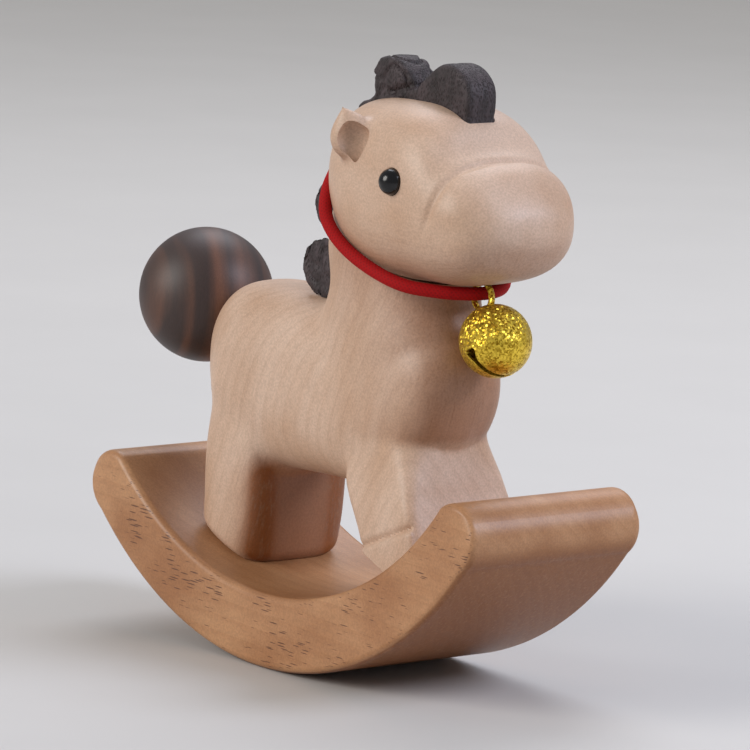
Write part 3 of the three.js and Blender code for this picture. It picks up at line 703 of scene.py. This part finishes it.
JOINT_LINE = [(-12, 75), (-4, 68), (0, 64.6), (4, 60.6), (9, 56), (15, 53.1), (20, 51.7),
              (25.5, 51), (34, 49)]
REAR_LEGS_X, FRONT_LEGS_X = -15.6, 20.9
REAR_FOOT_ROUND = 1.7
TOE_X = 21.4
VOXEL = {"body": 0.33, "head": 0.3, "mane": 0.2}
HEAD_REAR, HEAD_FRONT, HEAD_TOP, JAW = 1.2, 36.3, 73.4, 51.7


def below_joint(shift):
    """A block that holds all that is under the head's joint with the neck."""
    line = spline(JOINT_LINE, np.linspace(0, 1, 60)) + (0, shift)
    return prism(np.vstack([line, (60, 48), (60, -20), (-60, -20), (-60, 70)]), -30, 30)


def trunk(sizes):
    mid, z = 35.3, 11.7
    y = sizes.trunk_width / MM / 2
    return loft([
        (-24.4, 0, mid + 1.1, 0, 0, 2), (-23.7, 0, mid + 1.1, 0.48 * y, 0.45 * z, 2.2),
        (-21.2, 0, mid + 1, 0.8 * y, 0.75 * z, 2.4), (-16.4, 0, mid + 0.3, y, 0.97 * z, 2.7),
        (-8, 0, mid, y, z, 2.7), (2, 0, mid - 0.3, y, 0.95 * z, 2.6),
        (10, 0, mid, 0.98 * y, 0.98 * z, 2.5), (17, 0, mid + 1.2, 0.94 * y, 0.9 * z, 2.5),
        (22, 0, mid + 2.8, 0.78 * y, 0.62 * z, 2.3), (24.3, 0, mid + 4, 0.45 * y, 0.3 * z, 2.1),
        (25, 0, mid + 4.1, 0, 0, 2),
    ], along_x)


def neck(sizes):
    x, y = 11.5, sizes.neck_width / MM / 2
    return loft([
        (29, 12, 0, 0, 0, 2), (30, 12, 0, 0.8 * x, 0.8 * y, 2.2),
        (36, 11.5, 0, 1.09 * x, y, 2.4), (43, 10.5, 0, 1.12 * x, 1.02 * y, 2.4),
        (49, 10.5, 0, 0.97 * x, 0.98 * y, 2.2), (55, 10.5, 0, x, 1.03 * y, 2.2),
        (62, 12, 0, 0.9 * x, 1.1 * y, 2.2), (64, 12.5, 0, 0.7 * x, 0.9 * y, 2.2),
        (65, 10.5, 0, 0, 0, 2),
    ], along_z)


def rear_legs():
    x, y, at = 6.2, 8.6, REAR_LEGS_X
    return loft([
        (5, at - 0.6, 0, 0, 0, 3), (5.2, at - 0.6, 0, 0.86 * x, 0.9 * y, 3),
        (9, at - 0.4, 0, 0.95 * x, 0.94 * y, 3), (14, at - 0.1, 0, x, 0.97 * y, 4),
        (18, at + 0.2, 0, x, 0.96 * y, 5), (24, at + 0.4, 0, x, 0.96 * y, 5.5),
        (30, at + 0.6, 0, 1.05 * x, 0.95 * y, 3.6), (36, at + 0.6, 0, 1.06 * x, 0.93 * y, 2.8),
        (37, at + 0.6, 0, 0, 0, 2),
    ], along_z)


def front_legs():
    x, y, at = 5.9, 8.7, FRONT_LEGS_X
    return loft([
        (6, at, 0, 0, 0, 10), (6.2, at, 0, x, 0.99 * y, 10), (14, at, 0, x, 1.02 * y, 10),
        (18.5, at - 1.4, 0, 1.03 * x, 1.01 * y, 10), (21, at - 2.5, 0, 1.08 * x, y, 10),
        (23.5, at - 3.8, 0, 1.14 * x, 0.98 * y, 10), (26, at - 5, 0, 1.2 * x, 0.94 * y, 8),
        (31, at - 6, 0, 1.16 * x, 0.87 * y, 3.4), (38, at - 5.9, 0, 1.08 * x, 0.87 * y, 2.8),
        (39, at - 5.9, 0, 0, 0, 2),
    ], along_z)


def skull(sizes):
    y, muzzle = sizes.head_width / MM / 2, sizes.muzzle_width / MM / 2
    outline = [
        (HEAD_REAR, 64, 64, 0, 2), (HEAD_REAR + 0.8, 68.5, 58, 0.5 * y, 2.2),
        (HEAD_REAR + 3, HEAD_TOP - 1.2, 55, 0.74 * y, 2.3),
        (HEAD_REAR + 8, HEAD_TOP + 0.2, 52.2, 0.94 * y, 2.6),
        (HEAD_REAR + 14, HEAD_TOP + 0.5, JAW - 0.5, y, 2.8),
        (HEAD_REAR + 19, HEAD_TOP + 0.2, JAW - 0.1, y, 2.8),
        (HEAD_REAR + 23, HEAD_TOP - 1.3, JAW, 0.98 * y, 2.7),
        (HEAD_FRONT - 9, HEAD_TOP - 4.5, JAW + 0.4, muzzle, 2.7),
        (HEAD_FRONT - 4, HEAD_TOP - 7.5, JAW + 1.9, 0.88 * muzzle, 2.5),
        (HEAD_FRONT - 1, 62.6, JAW + 5.2, 0.52 * muzzle, 2.2), (HEAD_FRONT, 59.6, 59.6, 0, 2),
    ]
    return loft([(x, 0, (high + low) / 2, w, (high - low) / 2, n)
                 for x, high, low, w, n in outline], along_x)


def leaf(side, width, height, thick, centre, lean):
    """A leaf: at share t of its height its half width is width * sin(pi t^1.25)^1.15, so it is
    broadest above its middle and comes to a point at each end, and it is thick in its middle."""
    t = np.linspace(0, 1, 40)[:, None]
    v = np.linspace(0, 2 * np.pi, 40, endpoint=False)
    bulge = np.abs(np.sin(np.pi * t ** 1.25)) ** 1.15
    x = width * bulge * np.cos(v)
    y = thick * bulge * np.sin(v)
    z = height * (t - 0.5) + 0 * v
    points = np.stack([x, y, z], -1).reshape(-1, 3)
    turn = np.array(Matrix.Rotation(math.radians(lean[0] * -side), 3, "X")
                    @ Matrix.Rotation(math.radians(lean[1]), 3, "Y")
                    @ Matrix.Rotation(math.radians(lean[2] * side), 3, "Z"))
    moved = points @ turn.T + (centre[0], side * centre[1], centre[2])
    return skin(moved.reshape(40, 40, 3))


EAR_CENTRE = (11.3, 9.4, 68.3)
EAR_LEAN = (20, -9, -50)
EYE_PLACE = (20.4, 64.6)
EYE_SINK = 0.2  # mm, of a bead's centre below the widest part of the head
MANE_EDGE = 0.9
LOBES = {"mane_neck_upper": (-1.4, 58.4, 3.8, 3.0), "mane_neck_lower": (-3.3, 50.3, 4.0, 3.3)}


def ellipse(x, z, a, b, count=64):
    v = np.linspace(0, 2 * np.pi, count, endpoint=False)
    return np.stack([x + a * np.cos(v), z + b * np.sin(v)], 1)


def make_body(sizes):
    obj = one_skin("horse_body_wood", [trunk(sizes), neck(sizes), rear_legs(), front_legs()],
                   VOXEL["body"])

    def soft(p):
        """Full sanding but for the crease under the chest and the edges of the front legs."""
        low = smoothstep(-36, -34, -p[:, 2])
        crease = smoothstep(18, 20, p[:, 0]) * smoothstep(27, 29, p[:, 2]) * low
        legs = smoothstep(14, 16, p[:, 0]) * smoothstep(-30, -27, -p[:, 2])
        rear = smoothstep(-14, -12, p[:, 0]) * (p[:, 0] < 0) * smoothstep(-24, -21, -p[:, 2])
        return 1 - 0.88 * np.maximum(np.maximum(crease, legs), 0.85 * rear)

    sand(obj, 9, 60, 0.04, 8, soft)
    bevel_feet(obj, sizes)
    x = np.linspace(-40, 40, 160)
    top = np.stack([x, inner_height(sizes, x, TOUCH)], 1)
    carve(obj, prism(np.vstack([top, (40, -5), (-40, -5)]), -20, 20))
    # the heel is lifted by a cut that climbs back from the toe, where the foot stands
    x, z = TOE_X, inner_height(sizes, TOE_X)
    carve(obj, prism([(x, z), (x - 12, z + 4.8), (x - 14, z - 8), (x, z - 8)], -20, 20))
    carve(obj, below_joint(-0.1), "INTERSECT")
    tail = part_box("tail_ball")
    centre = (np.array(tail[0]) + np.array(tail[1])) / 2 / MM
    carve(obj, ball(sizes.tail_radius / MM + TOUCH, centre, 96, 60))
    for x, z, a, b in LOBES.values():
        carve(obj, prism(ellipse(x, z, a + 0.1, b + 0.1), -2.6, 2.6))
    return obj


def body_shade_and_oil(obj):
    """Painted shade, and on the chest partly oil: it darkens the chest above the crease, the
    neck under the jaw and, most of all, the face of the rear legs that looks forward under
    the belly, with a darker band near each side of that face; the flanks and the front legs
    stay pale."""
    p, n = points_of(obj), normals_of(obj)
    ahead = smoothstep(-0.3, 0.9, n[:, 0])
    # painted shade on the chest under the muzzle, partly oil
    chest = ahead * smoothstep(30.5, 32.5, p[:, 2]) * smoothstep(4, 16, p[:, 0])
    # painted shade on the neck under the jaw
    collar = smoothstep(40, 54, p[:, 2]) * smoothstep(1, 9, p[:, 0])
    # painted shade on the rear legs' face that looks forward under the belly
    under = smoothstep(-27, -22, -p[:, 2]) * smoothstep(-17, -12, p[:, 0]) * (p[:, 0] < 4)
    # a darker band near each side of that face
    edge_band = 0.5 * np.exp(-((np.abs(p[:, 1]) - 6.2) / 1.6) ** 2)
    return np.clip(np.maximum(0.6 * chest, 0.35 * collar) + under * ahead * (0.8 + edge_band), 0, 1.3)


def bevel_feet(obj, sizes):
    """Shapes the bottom of the feet. On the front feet a groove 0.5 mm deep starts at the
    heel's corner and climbs towards the toe, and the hoof below it stands 0.3 mm proud. The
    bottom edges of the rear feet are rounded to a quarter circle of 1.7 mm."""
    p, n = points_of(obj), normals_of(obj)
    below = 18.2 + 0.41 * (p[:, 0] - 15.4) - p[:, 2]
    hoof = 0.3 * smoothstep(0, 0.9, below) - 0.5 * np.exp(-(below / 0.4) ** 2)
    on_side = (p[:, 0] > 8) * smoothstep(-27, -24, -p[:, 2]) * smoothstep(0.5, 0.8, np.abs(n[:, 1]))
    p += n * (hoof * on_side)[:, None]
    r = REAR_FOOT_ROUND
    above = np.clip(p[:, 2] - inner_height(sizes, p[:, 0]), 0, r)
    round_in = (r - np.sqrt(r ** 2 - (r - above) ** 2)) * (p[:, 0] < 0)
    p[:, :2] -= n[:, :2] * round_in[:, None]
    put_points(obj, p)


def make_head(sizes):
    parts = [skull(sizes)]
    for side in (1, -1):
        parts.append(leaf(side, 3.0, 10.2, 1.8, EAR_CENTRE, EAR_LEAN))
    obj = one_skin("head_wood", parts, VOXEL["head"])
    sand(obj, 6, 30, 0.03, 6)
    # the muzzle is a dome in front of a shallow ring groove, which fades under the jaw
    p, n = points_of(obj), normals_of(obj)
    ahead = (p[:, 0] - 26.7 - 0.33 * (p[:, 2] - 60)) * 0.95
    fade = smoothstep(57.5, 62, p[:, 2])
    groove = -0.4 * np.exp(-(ahead / 0.55) ** 2) + 0.25 * np.exp(-((ahead - 2.2) / 2.2) ** 2)
    put_points(obj, p + n * (groove * fade)[:, None])
    for side in (1, -1):
        hollow = (EAR_CENTRE[0] + 1.35, EAR_CENTRE[1] + 1.05, EAR_CENTRE[2] + 0.1)
        carve(obj, leaf(side, 2.2, 7.8, 1.4, hollow, EAR_LEAN))
        eye = (EYE_PLACE[0], side * (sizes.head_width / MM / 2 - EYE_SINK), EYE_PLACE[1])
        carve(obj, ball(sizes.eye_radius / MM + 0.05, eye, 40, 24))
    carve(obj, below_joint(0.1))
    # a notch under the jaw, in which the bell's loop swings
    swing = THROAT[[0, 2]] + 2.25 * ellipse(0, 0, 1, 1)
    carve(obj, prism(swing, -0.6, 0.6))
    room = sizes.mane_thickness / MM / 2 + TOUCH
    carve(obj, pillow(mane_outline(TOUCH), 2 * room, MANE_EDGE))
    for x, z, a, b in LOBES.values():
        carve(obj, prism(ellipse(x, z, a + 0.1, b + 0.1), -room, room))
    return obj


# ---------------------------------------------------------------- mane


def mane_outline(grow=0.0):
    """The head mane from the side: a low start at the poll, a round lobe, a notch, a second
    lobe that drops to the forelock, and a tongue let into the head."""
    base, top, crest = HEAD_TOP - 2.6, HEAD_TOP, HEAD_TOP + 5.4
    points = [
        (2.4, base - 0.6), (1.4, top - 1.9), (3.2, top - 0.8), (5.2, top + 0.2), (4.8, crest - 2.6),
        (6.1, crest - 0.6), (8.6, crest - 0.1), (11.2, crest - 0.9), (13.0, crest - 2.6),
        (14.1, crest - 3.4), (15.6, crest - 2.0), (18.4, crest - 0.2), (21.2, crest - 0.1),
        (23.5, crest - 1.4), (24.5, crest - 3.2), (24.4, top - 0.8), (23.4, base - 1.6),
        (12, base - 0.2),
    ]
    line = spline(points + points[:1], np.linspace(0, 1, 180, endpoint=False))
    ahead = np.roll(line, -1, 0) - np.roll(line, 1, 0)
    out = np.stack([-ahead[:, 1], ahead[:, 0]], 1) / np.linalg.norm(ahead, axis=1, keepdims=True)
    return line + out * grow


def pillow(outline, thickness, edge):
    """A slab with round edges: rings of the outline are pulled in by edge * (1 - cos a) as y
    nears each face, then shrink towards the middle, where the face stands a little proud."""
    ahead = np.roll(outline, -1, 0) - np.roll(outline, 1, 0)
    inward = np.stack([ahead[:, 1], -ahead[:, 0]], 1) / np.linalg.norm(ahead, axis=1, keepdims=True)
    middle = outline.mean(0)
    half, crown = thickness / 2, 0.25
    rings = []
    for share in (0, 0.25, 0.5, 0.75, 0.92):
        flat = middle + (outline + inward * edge - middle) * share
        rings.append(np.insert(flat, 1, -half - crown * (1 - share ** 2), 1))
    for a in np.linspace(-np.pi / 2, np.pi / 2, 13):
        y = (half - edge) * np.sign(np.round(math.sin(a), 6)) + edge * math.sin(a)
        rings.append(np.insert(outline + inward * edge * (1 - math.cos(a)), 1, y, 1))
    for share in (0.92, 0.75, 0.5, 0.25, 0):
        flat = middle + (outline + inward * edge - middle) * share
        rings.append(np.insert(flat, 1, half + crown * (1 - share ** 2), 1))
    return skin(np.array(rings))


def make_lobe(name, outline, sizes, seed):
    """A lobe of the mane, rounded, then chiselled: shallow scoops and a few fine cracks, which
    fade out on the forelock. A crease runs back and down from the notch between the two lobes
    of the head's mane."""
    obj = one_skin(name, [pillow(outline, sizes.mane_thickness / MM - 0.1, MANE_EDGE)], VOXEL["mane"])
    edges = edges_of(obj)
    points = relax(points_of(obj), edges, 0.5, 5)
    put_points(obj, points)
    normals = normals_of(obj)
    rough = 1 - 0.85 * smoothstep(12.5, 15.5, points[:, 0])
    scoops = -0.2 * np.abs(waves(points, 3.2, seed, 2)) * rough
    cracks = -0.28 * rough * np.exp(-(waves(points, 5.0, seed + 1, 1) / 0.09) ** 2)
    grit = 0.035 * waves(points, 0.8, seed + 2, 2) * rough
    notch, foot = np.array([14.1, HEAD_TOP + 2.4]), np.array([8.5, HEAD_TOP + 0.5])
    way = (foot - notch) / np.linalg.norm(foot - notch)
    from_notch = points[:, [0, 2]] - notch
    aside = from_notch @ np.array([-way[1], way[0]])
    reach = smoothstep(-1.5, 0, from_notch @ way) * smoothstep(-8, -5, -(from_notch @ way))
    crease = -0.55 * np.exp(-(aside / 0.45) ** 2) * reach
    put_points(obj, points + normals * (scoops + cracks + grit + crease)[:, None])
    return obj


# ---------------------------------------------------------------- collar and bell

COLLAR = [
    (7, 9.3, 57.2), (3.7, 7.8, 60.9), (2.2, 5.4, 63.5), (0.6, 2.6, 64.7), (0.2, 0, 64.9),
    (0.6, -2.6, 64.7), (2.2, -5.4, 63.5), (3.7, -7.8, 60.9), (5.8, -9.2, 58), (9.7, -9.6, 55.3),
    (15, -9.3, 53.1), (20, -8, 51.6), (23.6, -5, 51.05), (25.4, -2.2, 50.9), (25.8, 0, 50.85),
    (25.4, 2.2, 50.9), (23.6, 5, 51.05), (20, 8, 51.6), (15, 9.3, 53.1), (10.4, 9.6, 55),
]
THROAT = np.array([25.8, 0, 50.85])
KNOT = np.array([8.7, 10.4, 56.2])
BELL_DROP, BELL_LEAN = 6.3, math.radians(29)
STRANDS = 8  # that run each way round the braid


def resample(path, count):
    """The same line with its points spaced evenly."""
    step = np.linalg.norm(np.diff(path, axis=0), axis=1)
    s = np.concatenate([[0], np.cumsum(step)])
    t = np.linspace(0, s[-1], count)
    return np.stack([np.interp(t, s, path[:, i]) for i in range(3)], 1), t


def braid(path, t, radius, around=40):
    """A tube with two sets of strands that wind opposite ways and pass over and under: where
    the first set's wave times the second's is high, a strand stands proud of the tube."""
    angle = np.linspace(0, 2 * np.pi, around, endpoint=False)
    lead = 2 * np.pi / 4.2  # each strand goes once round in 4.2 mm
    one = np.cos(STRANDS / 2 * (angle + lead * t[:, None]))
    two = np.cos(STRANDS / 2 * (angle - lead * t[:, None]))
    height = np.maximum(np.abs(one), np.abs(two)) ** 2
    height = (height - 0.3) / 0.7
    part = tube(path, radius * (0.96 + 0.04 * height), around)
    # the strand height also goes to the cord's colour, where it sets painted shade in the hollows
    strand = np.concatenate([np.full(around * 4, 0.5), height.ravel(), np.full(around * 4, 0.5),
                             [0.5, 0.5]])
    return part, strand


def hang(points):
    """Turns what hangs straight down from the origin to the bell's lean, at the throat."""
    c, s = math.cos(BELL_LEAN), math.sin(BELL_LEAN)
    turn = np.array([[c, 0, -s], [0, 1, 0], [s, 0, c]])
    return points @ turn.T + THROAT


def bell_surface(sizes):
    """The stamped sheet: a ball a hair narrower at its middle than it is tall, by its latitude,
    with the same line again one wall further in, so that it is a thin shell."""
    r, wall = sizes.bell_radius / MM, sizes.bell_wall / MM
    u = np.linspace(0, np.pi, 60)[:, None]
    v = np.linspace(0, 2 * np.pi, 96, endpoint=False)

    def shell(radius):
        swell = 1 + 0.012 * np.cos(2 * u)
        x = radius * swell * np.sin(u) * np.cos(v)
        y = radius * swell * np.sin(u) * np.sin(v)
        z = radius * np.cos(u) + 0 * v - BELL_DROP
        return skin(np.stack([x, y, z], -1))

    return shell(r), shell(r - wall)


def loop_surface(sizes):
    """A strap bent to a ring round the cord: an oval section, wider across than thick, carried
    round a circle whose lower side runs down into the bell."""
    turn = np.linspace(0, 2 * np.pi, 96, endpoint=False)
    v = np.linspace(0, 2 * np.pi, 32, endpoint=False)
    major = sizes.cord_radius / MM + 0.9
    flare = 1 + 0.35 * np.clip(-np.sin(turn), 0, 1) ** 3
    r = major + 0.27 * np.cos(v)[None, :] * np.ones_like(turn)[:, None]
    y = 0.45 * flare[:, None] * np.sin(v)[None, :]
    x, z = r * np.cos(turn)[:, None], r * np.sin(turn)[:, None] - 0.45
    rings = np.stack([x, y, z], -1)
    count, around = rings.shape[:2]
    row = np.arange(count)[:, None]
    j = np.arange(around)
    following, k = (row + 1) % count, (j + 1) % around
    faces = np.stack([row * around + j, row * around + k, following * around + k,
                      following * around + j], -1).reshape(-1, 4)
    return rings.reshape(-1, 3), faces.tolist()


# ---------------------------------------------------------------- operators


class MakePiece:
    """What the operators share: they are undoable and read the sizes and colours."""

    bl_options = {"REGISTER", "UNDO"}

    def settings(self, context):
        return context.scene.rocking_horse_sizes, context.scene.rocking_horse_colours


class MakeRocker(MakePiece, bpy.types.Operator):
    """Makes the curved beech rocker"""

    bl_idname = "rocking_horse.make_rocker"
    bl_label = "Rocker"

    def execute(self, context):
        sizes, colours = self.settings(context)
        obj = mesh_object("rocker_plank", rocker_surface(sizes))
        normals = normals_of(obj)
        # painted shade on the faces that look down
        under = smoothstep(0.0, 0.8, -normals[:, 2]) * (np.abs(normals[:, 1]) < 0.7)
        keep_grain(obj, (1, 0, 0), shade_and_oil=under)
        keep_values(obj, "fleck", smoothstep(0.5, 0.95, np.abs(normals[:, 1])), "FLOAT")
        show(obj, make_beech(colours), "horse", ["rocker"], 50)
        weighted = obj.modifiers.new("even shading", "WEIGHTED_NORMAL")
        weighted.keep_sharp = True
        return {"FINISHED"}


class MakeBody(MakePiece, bpy.types.Operator):
    """Makes the trunk, neck and legs from one block"""

    bl_idname = "rocking_horse.make_body"
    bl_label = "Body"

    def execute(self, context):
        sizes, colours = self.settings(context)
        obj = make_body(sizes)
        # mixes in painted shade, on the chest partly oil
        keep_grain(obj, (0.35, 0, 0.94), shade_and_oil=body_shade_and_oil(obj))
        show(obj, make_maple(colours, "carved and oiled maple", 0.12), "horse", ["horse_body"])
        return {"FINISHED"}


class MakeHead(MakePiece, bpy.types.Operator):
    """Makes the head with its ears"""

    bl_idname = "rocking_horse.make_head"
    bl_label = "Head"

    def execute(self, context):
        sizes, colours = self.settings(context)
        obj = make_head(sizes)
        normals = normals_of(obj)
        # painted shade on the head's faces that look down, under the jaw
        jaw = 0.45 * smoothstep(-0.1, 0.85, -normals[:, 2])
        keep_grain(obj, (1, 0, -0.05), shade_and_oil=jaw)
        material = make_maple(colours, "carved and oiled pale maple", 0.02)
        show(obj, material, "horse", ["head"])
        return {"FINISHED"}


class MakeMane(MakePiece, bpy.types.Operator):
    """Makes the lobes of the mane"""

    bl_idname = "rocking_horse.make_mane"
    bl_label = "Mane"

    def execute(self, context):
        sizes, colours = self.settings(context)
        material = make_wenge(colours)
        outlines = {"mane_head": mane_outline()}
        outlines.update({name: ellipse(*lobe) for name, lobe in LOBES.items()})
        for seed, (name, outline) in enumerate(outlines.items()):
            obj = make_lobe(name + "_wood", outline, sizes, 11 + 5 * seed)
            keep_grain(obj, (0.2, 0, 1))
            show(obj, material, "horse", [name])
        return {"FINISHED"}


class MakeTail(MakePiece, bpy.types.Operator):
    """Makes the turned ball of the tail"""

    bl_idname = "rocking_horse.make_tail"
    bl_label = "Tail"

    def execute(self, context):
        sizes, colours = self.settings(context)
        low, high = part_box("tail_ball")
        centre = (np.array(low) + np.array(high)) / 2 / MM
        points, faces = ball(sizes.tail_radius / MM, centre, 96, 64)
        # turned by eye: a hair out of round
        points = centre + (points - centre) * (1 + 0.004 * waves(points, 14, 3, 1))[:, None]
        obj = mesh_object("tail_ball_wood", (points, faces))
        keep_grain(obj, (0.25, 0.1, 1), (0.371, 0.928, 0))
        show(obj, make_walnut(colours), "horse", ["tail_ball"])
        return {"FINISHED"}


class MakeEyes(MakePiece, bpy.types.Operator):
    """Makes the two bead eyes"""

    bl_idname = "rocking_horse.make_eyes"
    bl_label = "Eyes"

    def execute(self, context):
        sizes, colours = self.settings(context)
        material = make_glass_bead(colours)
        for hand, side in (("left", 1), ("right", -1)):
            centre = (EYE_PLACE[0], side * (sizes.head_width / MM / 2 - EYE_SINK), EYE_PLACE[1])
            obj = mesh_object(f"eye_{hand}_bead", ball(sizes.eye_radius / MM, centre, 48, 32))
            show(obj, material, "horse", [f"eye_{hand}"])
        return {"FINISHED"}


class FinishDowels(MakePiece, bpy.types.Operator):
    """Gives the hidden dowels their wood"""

    bl_idname = "rocking_horse.finish_dowels"
    bl_label = "Dowels"

    def execute(self, context):
        material = make_dowel_wood(self.settings(context)[1])
        for name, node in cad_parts.items():
            if "dowel" in name:
                node.data.materials.clear()
                node.data.materials.append(material)
        return {"FINISHED"}


class MakeCollar(MakePiece, bpy.types.Operator):
    """Makes the braided cord and its knot"""

    bl_idname = "rocking_horse.make_collar"
    bl_label = "Collar"

    def execute(self, context):
        sizes, colours = self.settings(context)
        material = make_cord_red(colours)
        radius = sizes.cord_radius / MM
        path, t = resample(spline(COLLAR, np.linspace(0, 1, 900)), 640)
        part, strand = braid(path, t, radius)
        obj = mesh_object("collar_cord_braid", part)
        keep_values(obj, "strand", strand, "FLOAT")
        show(obj, material, "horse", ["collar_cord"], 80)
        # an overhand knot: the trefoil (sin a + 2 sin 2a, cos a - 2 cos 2a, -sin 3a), drawn small
        a = np.linspace(0.35, 2 * np.pi - 0.35, 400)
        knot = np.stack([np.sin(a) + 2 * np.sin(2 * a), -1.3 * np.sin(3 * a),
                         np.cos(a) - 2 * np.cos(2 * a)], 1)
        path, t = resample(KNOT + (0, -0.3, 0) + knot * (0.34, 0.4, 0.34), 200)
        part, strand = braid(path, t, 0.62)
        obj = mesh_object("collar_knot_braid", part)
        keep_values(obj, "strand", strand, "FLOAT")
        show(obj, material, "horse", ["collar_knot"], 80)
        return {"FINISHED"}


class MakeBell(MakePiece, bpy.types.Operator):
    """Makes the bell, its loop and its pellet"""

    bl_idname = "rocking_horse.make_bell"
    bl_label = "Bell"

    def execute(self, context):
        sizes, colours = self.settings(context)
        material = make_gilt(colours)
        outside, inside = bell_surface(sizes)
        obj = mesh_object("bell_shell_stamped", outside)
        carve(obj, inside)
        r = sizes.bell_radius / MM
        # one slit under the foot that widens to a three-cornered opening on each side
        low = -BELL_DROP - r - 1
        top = -BELL_DROP - 0.17 * r
        corners = [(-0.3, low), (0.3, low), (0.33, top - 1.6), (0.85, top - 0.3), (0.6, top),
                   (-0.6, top), (-0.85, top - 0.3), (-0.33, top - 1.6)]
        carve(obj, prism(corners, -r - 1, r + 1))
        points = points_of(obj)
        frost = smoothstep(-0.45, 0.15, (points[:, 2] + BELL_DROP) / r)
        put_points(obj, hang(points))
        keep_values(obj, "frost", frost, "FLOAT")
        show(obj, material, "bell", ["bell_shell"], 40)
        points, faces = loop_surface(sizes)
        obj = mesh_object("bell_loop_strap", (hang(points), faces))
        keep_values(obj, "frost", np.ones(len(points)), "FLOAT")
        show(obj, material, "loop", ["bell_loop"], 60)
        low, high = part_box("bell_pellet")
        centre = (np.array(low) + np.array(high)) / 2 / MM
        obj = mesh_object("bell_pellet_shot", ball((high - low).x / 2 / MM, centre, 32, 20))
        show(obj, make_steel(colours), "pellet", ["bell_pellet"])
        return {"FINISHED"}


CAMERA_TURN, CAMERA_RISE, CAMERA_ROLL = math.radians(52), math.radians(9.09), math.radians(2.22)
CAMERA_AWAY, CAMERA_AIM = 0.7, Vector((4.98, 0, 37.52)) * MM
SENSOR, LENS = 36.0, 264.7


class MakeStage(MakePiece, bpy.types.Operator):
    """Makes the floor, the soft light and the camera"""

    bl_idname = "rocking_horse.make_stage"
    bl_label = "Stage"

    def execute(self, context):
        scene = context.scene
        colours = self.settings(context)[1]
        side = np.linspace(-4000, 4000, 9)
        x, y = np.meshgrid(side, side)
        points = np.stack([x, y, 0 * x], -1).reshape(-1, 3)
        i = np.arange(8)
        row, col = np.meshgrid(i, i, indexing="ij")
        faces = np.stack([row * 9 + col, row * 9 + col + 1, row * 9 + col + 10, row * 9 + col + 9], -1)
        floor = bpy.data.meshes.new("floor")
        floor.from_pydata((points * MM).tolist(), [], faces.reshape(-1, 4).tolist())
        floor.materials.append(make_floor_paint(colours))
        obj = bpy.data.objects.new("floor", floor)
        scene.collection.objects.link(obj)

        a, e, r = CAMERA_TURN, CAMERA_RISE, CAMERA_ROLL
        back = Vector((math.sin(a) * math.cos(e), -math.cos(a) * math.cos(e), math.sin(e)))
        right = Vector((math.cos(a), math.sin(a), 0))
        up = back.cross(right)
        across = right * math.cos(r) + up * math.sin(r)
        upright = up * math.cos(r) - right * math.sin(r)
        data = bpy.data.cameras.new("camera")
        data.sensor_width, data.lens = SENSOR, LENS
        data.clip_start, data.clip_end = 0.01, 30
        camera = bpy.data.objects.new("camera", data)
        camera.matrix_world = Matrix((
            (across.x, upright.x, back.x, 0), (across.y, upright.y, back.y, 0),
            (across.z, upright.z, back.z, 0), (0, 0, 0, 1)))
        camera.location = CAMERA_AIM + back * CAMERA_AWAY
        scene.collection.objects.link(camera)
        scene.camera = camera

        aim = Vector((0, 0, 0.035))
        lamps = (
            # name, kind, towards it, distance, size, strength, colour
            ("key", "SUN", Vector((-0.35, -1, 0.5)), 1.0, math.radians(34), 1.9, "#FFFBF6"),
            ("window", "AREA", Vector((0.69, 0.44, 0.58)), 0.6, 0.26, 2.2, "#E6ECFF"),
            ("ceiling", "AREA", Vector((-0.5, 0.5, 1)), 0.7, 0.5, 2.2, "#F4F6FF"),
        )
        for name, kind, towards, away, size, strength, tint in lamps:
            data = bpy.data.lights.new(name, kind)
            if kind == "SUN":
                data.angle = size
            else:
                data.shape, data.size = "DISK", size
            data.energy = strength
            data.color = colour(tint)[:3]
            lamp = bpy.data.objects.new(name, data)
            lamp.location = aim + towards.normalized() * away
            lamp.rotation_mode = "QUATERNION"
            lamp.rotation_quaternion = towards.to_track_quat("Z", "Y")
            scene.collection.objects.link(lamp)
        world = bpy.data.worlds.new("soft room")
        world.use_nodes = True
        sky = world.node_tree.nodes["Background"]
        sky.inputs["Color"].default_value = colour("#F7F8FC")
        sky.inputs["Strength"].default_value = 0.34
        scene.world = world
        scene.view_settings.view_transform = "Standard"
        return {"FINISHED"}


class RockingHorsePanel(bpy.types.Panel):
    """Lists the pieces, sizes and colours in the sidebar"""

    bl_idname = "VIEW3D_PT_rocking_horse"
    bl_label = "Rocking horse"
    bl_space_type = "VIEW_3D"
    bl_region_type = "UI"
    bl_category = "Rocking horse"

    def draw(self, context):
        for operator in OPERATORS:
            self.layout.operator(operator.bl_idname)
        for group in (context.scene.rocking_horse_sizes, context.scene.rocking_horse_colours):
            box = self.layout.box()
            for name in group.__annotations__:
                box.prop(group, name)


OPERATORS = (MakeStage, MakeRocker, MakeBody, MakeHead, MakeMane, MakeTail, MakeEyes,
             FinishDowels, MakeCollar, MakeBell)
CLASSES = (RockingHorseSizes, RockingHorseColours, *OPERATORS, RockingHorsePanel)


def register():
    for each in CLASSES:
        bpy.utils.register_class(each)
    bpy.types.Scene.rocking_horse_sizes = bpy.props.PointerProperty(type=RockingHorseSizes)
    bpy.types.Scene.rocking_horse_colours = bpy.props.PointerProperty(type=RockingHorseColours)


def unregister():
    del bpy.types.Scene.rocking_horse_colours
    del bpy.types.Scene.rocking_horse_sizes
    for each in reversed(CLASSES):
        bpy.utils.unregister_class(each)


def main():
    """Makes every piece in order."""
    register()
    for operator in OPERATORS:
        group, name = operator.bl_idname.split(".")
        getattr(getattr(bpy.ops, group), name)()


if __name__ == "__main__":
    main()
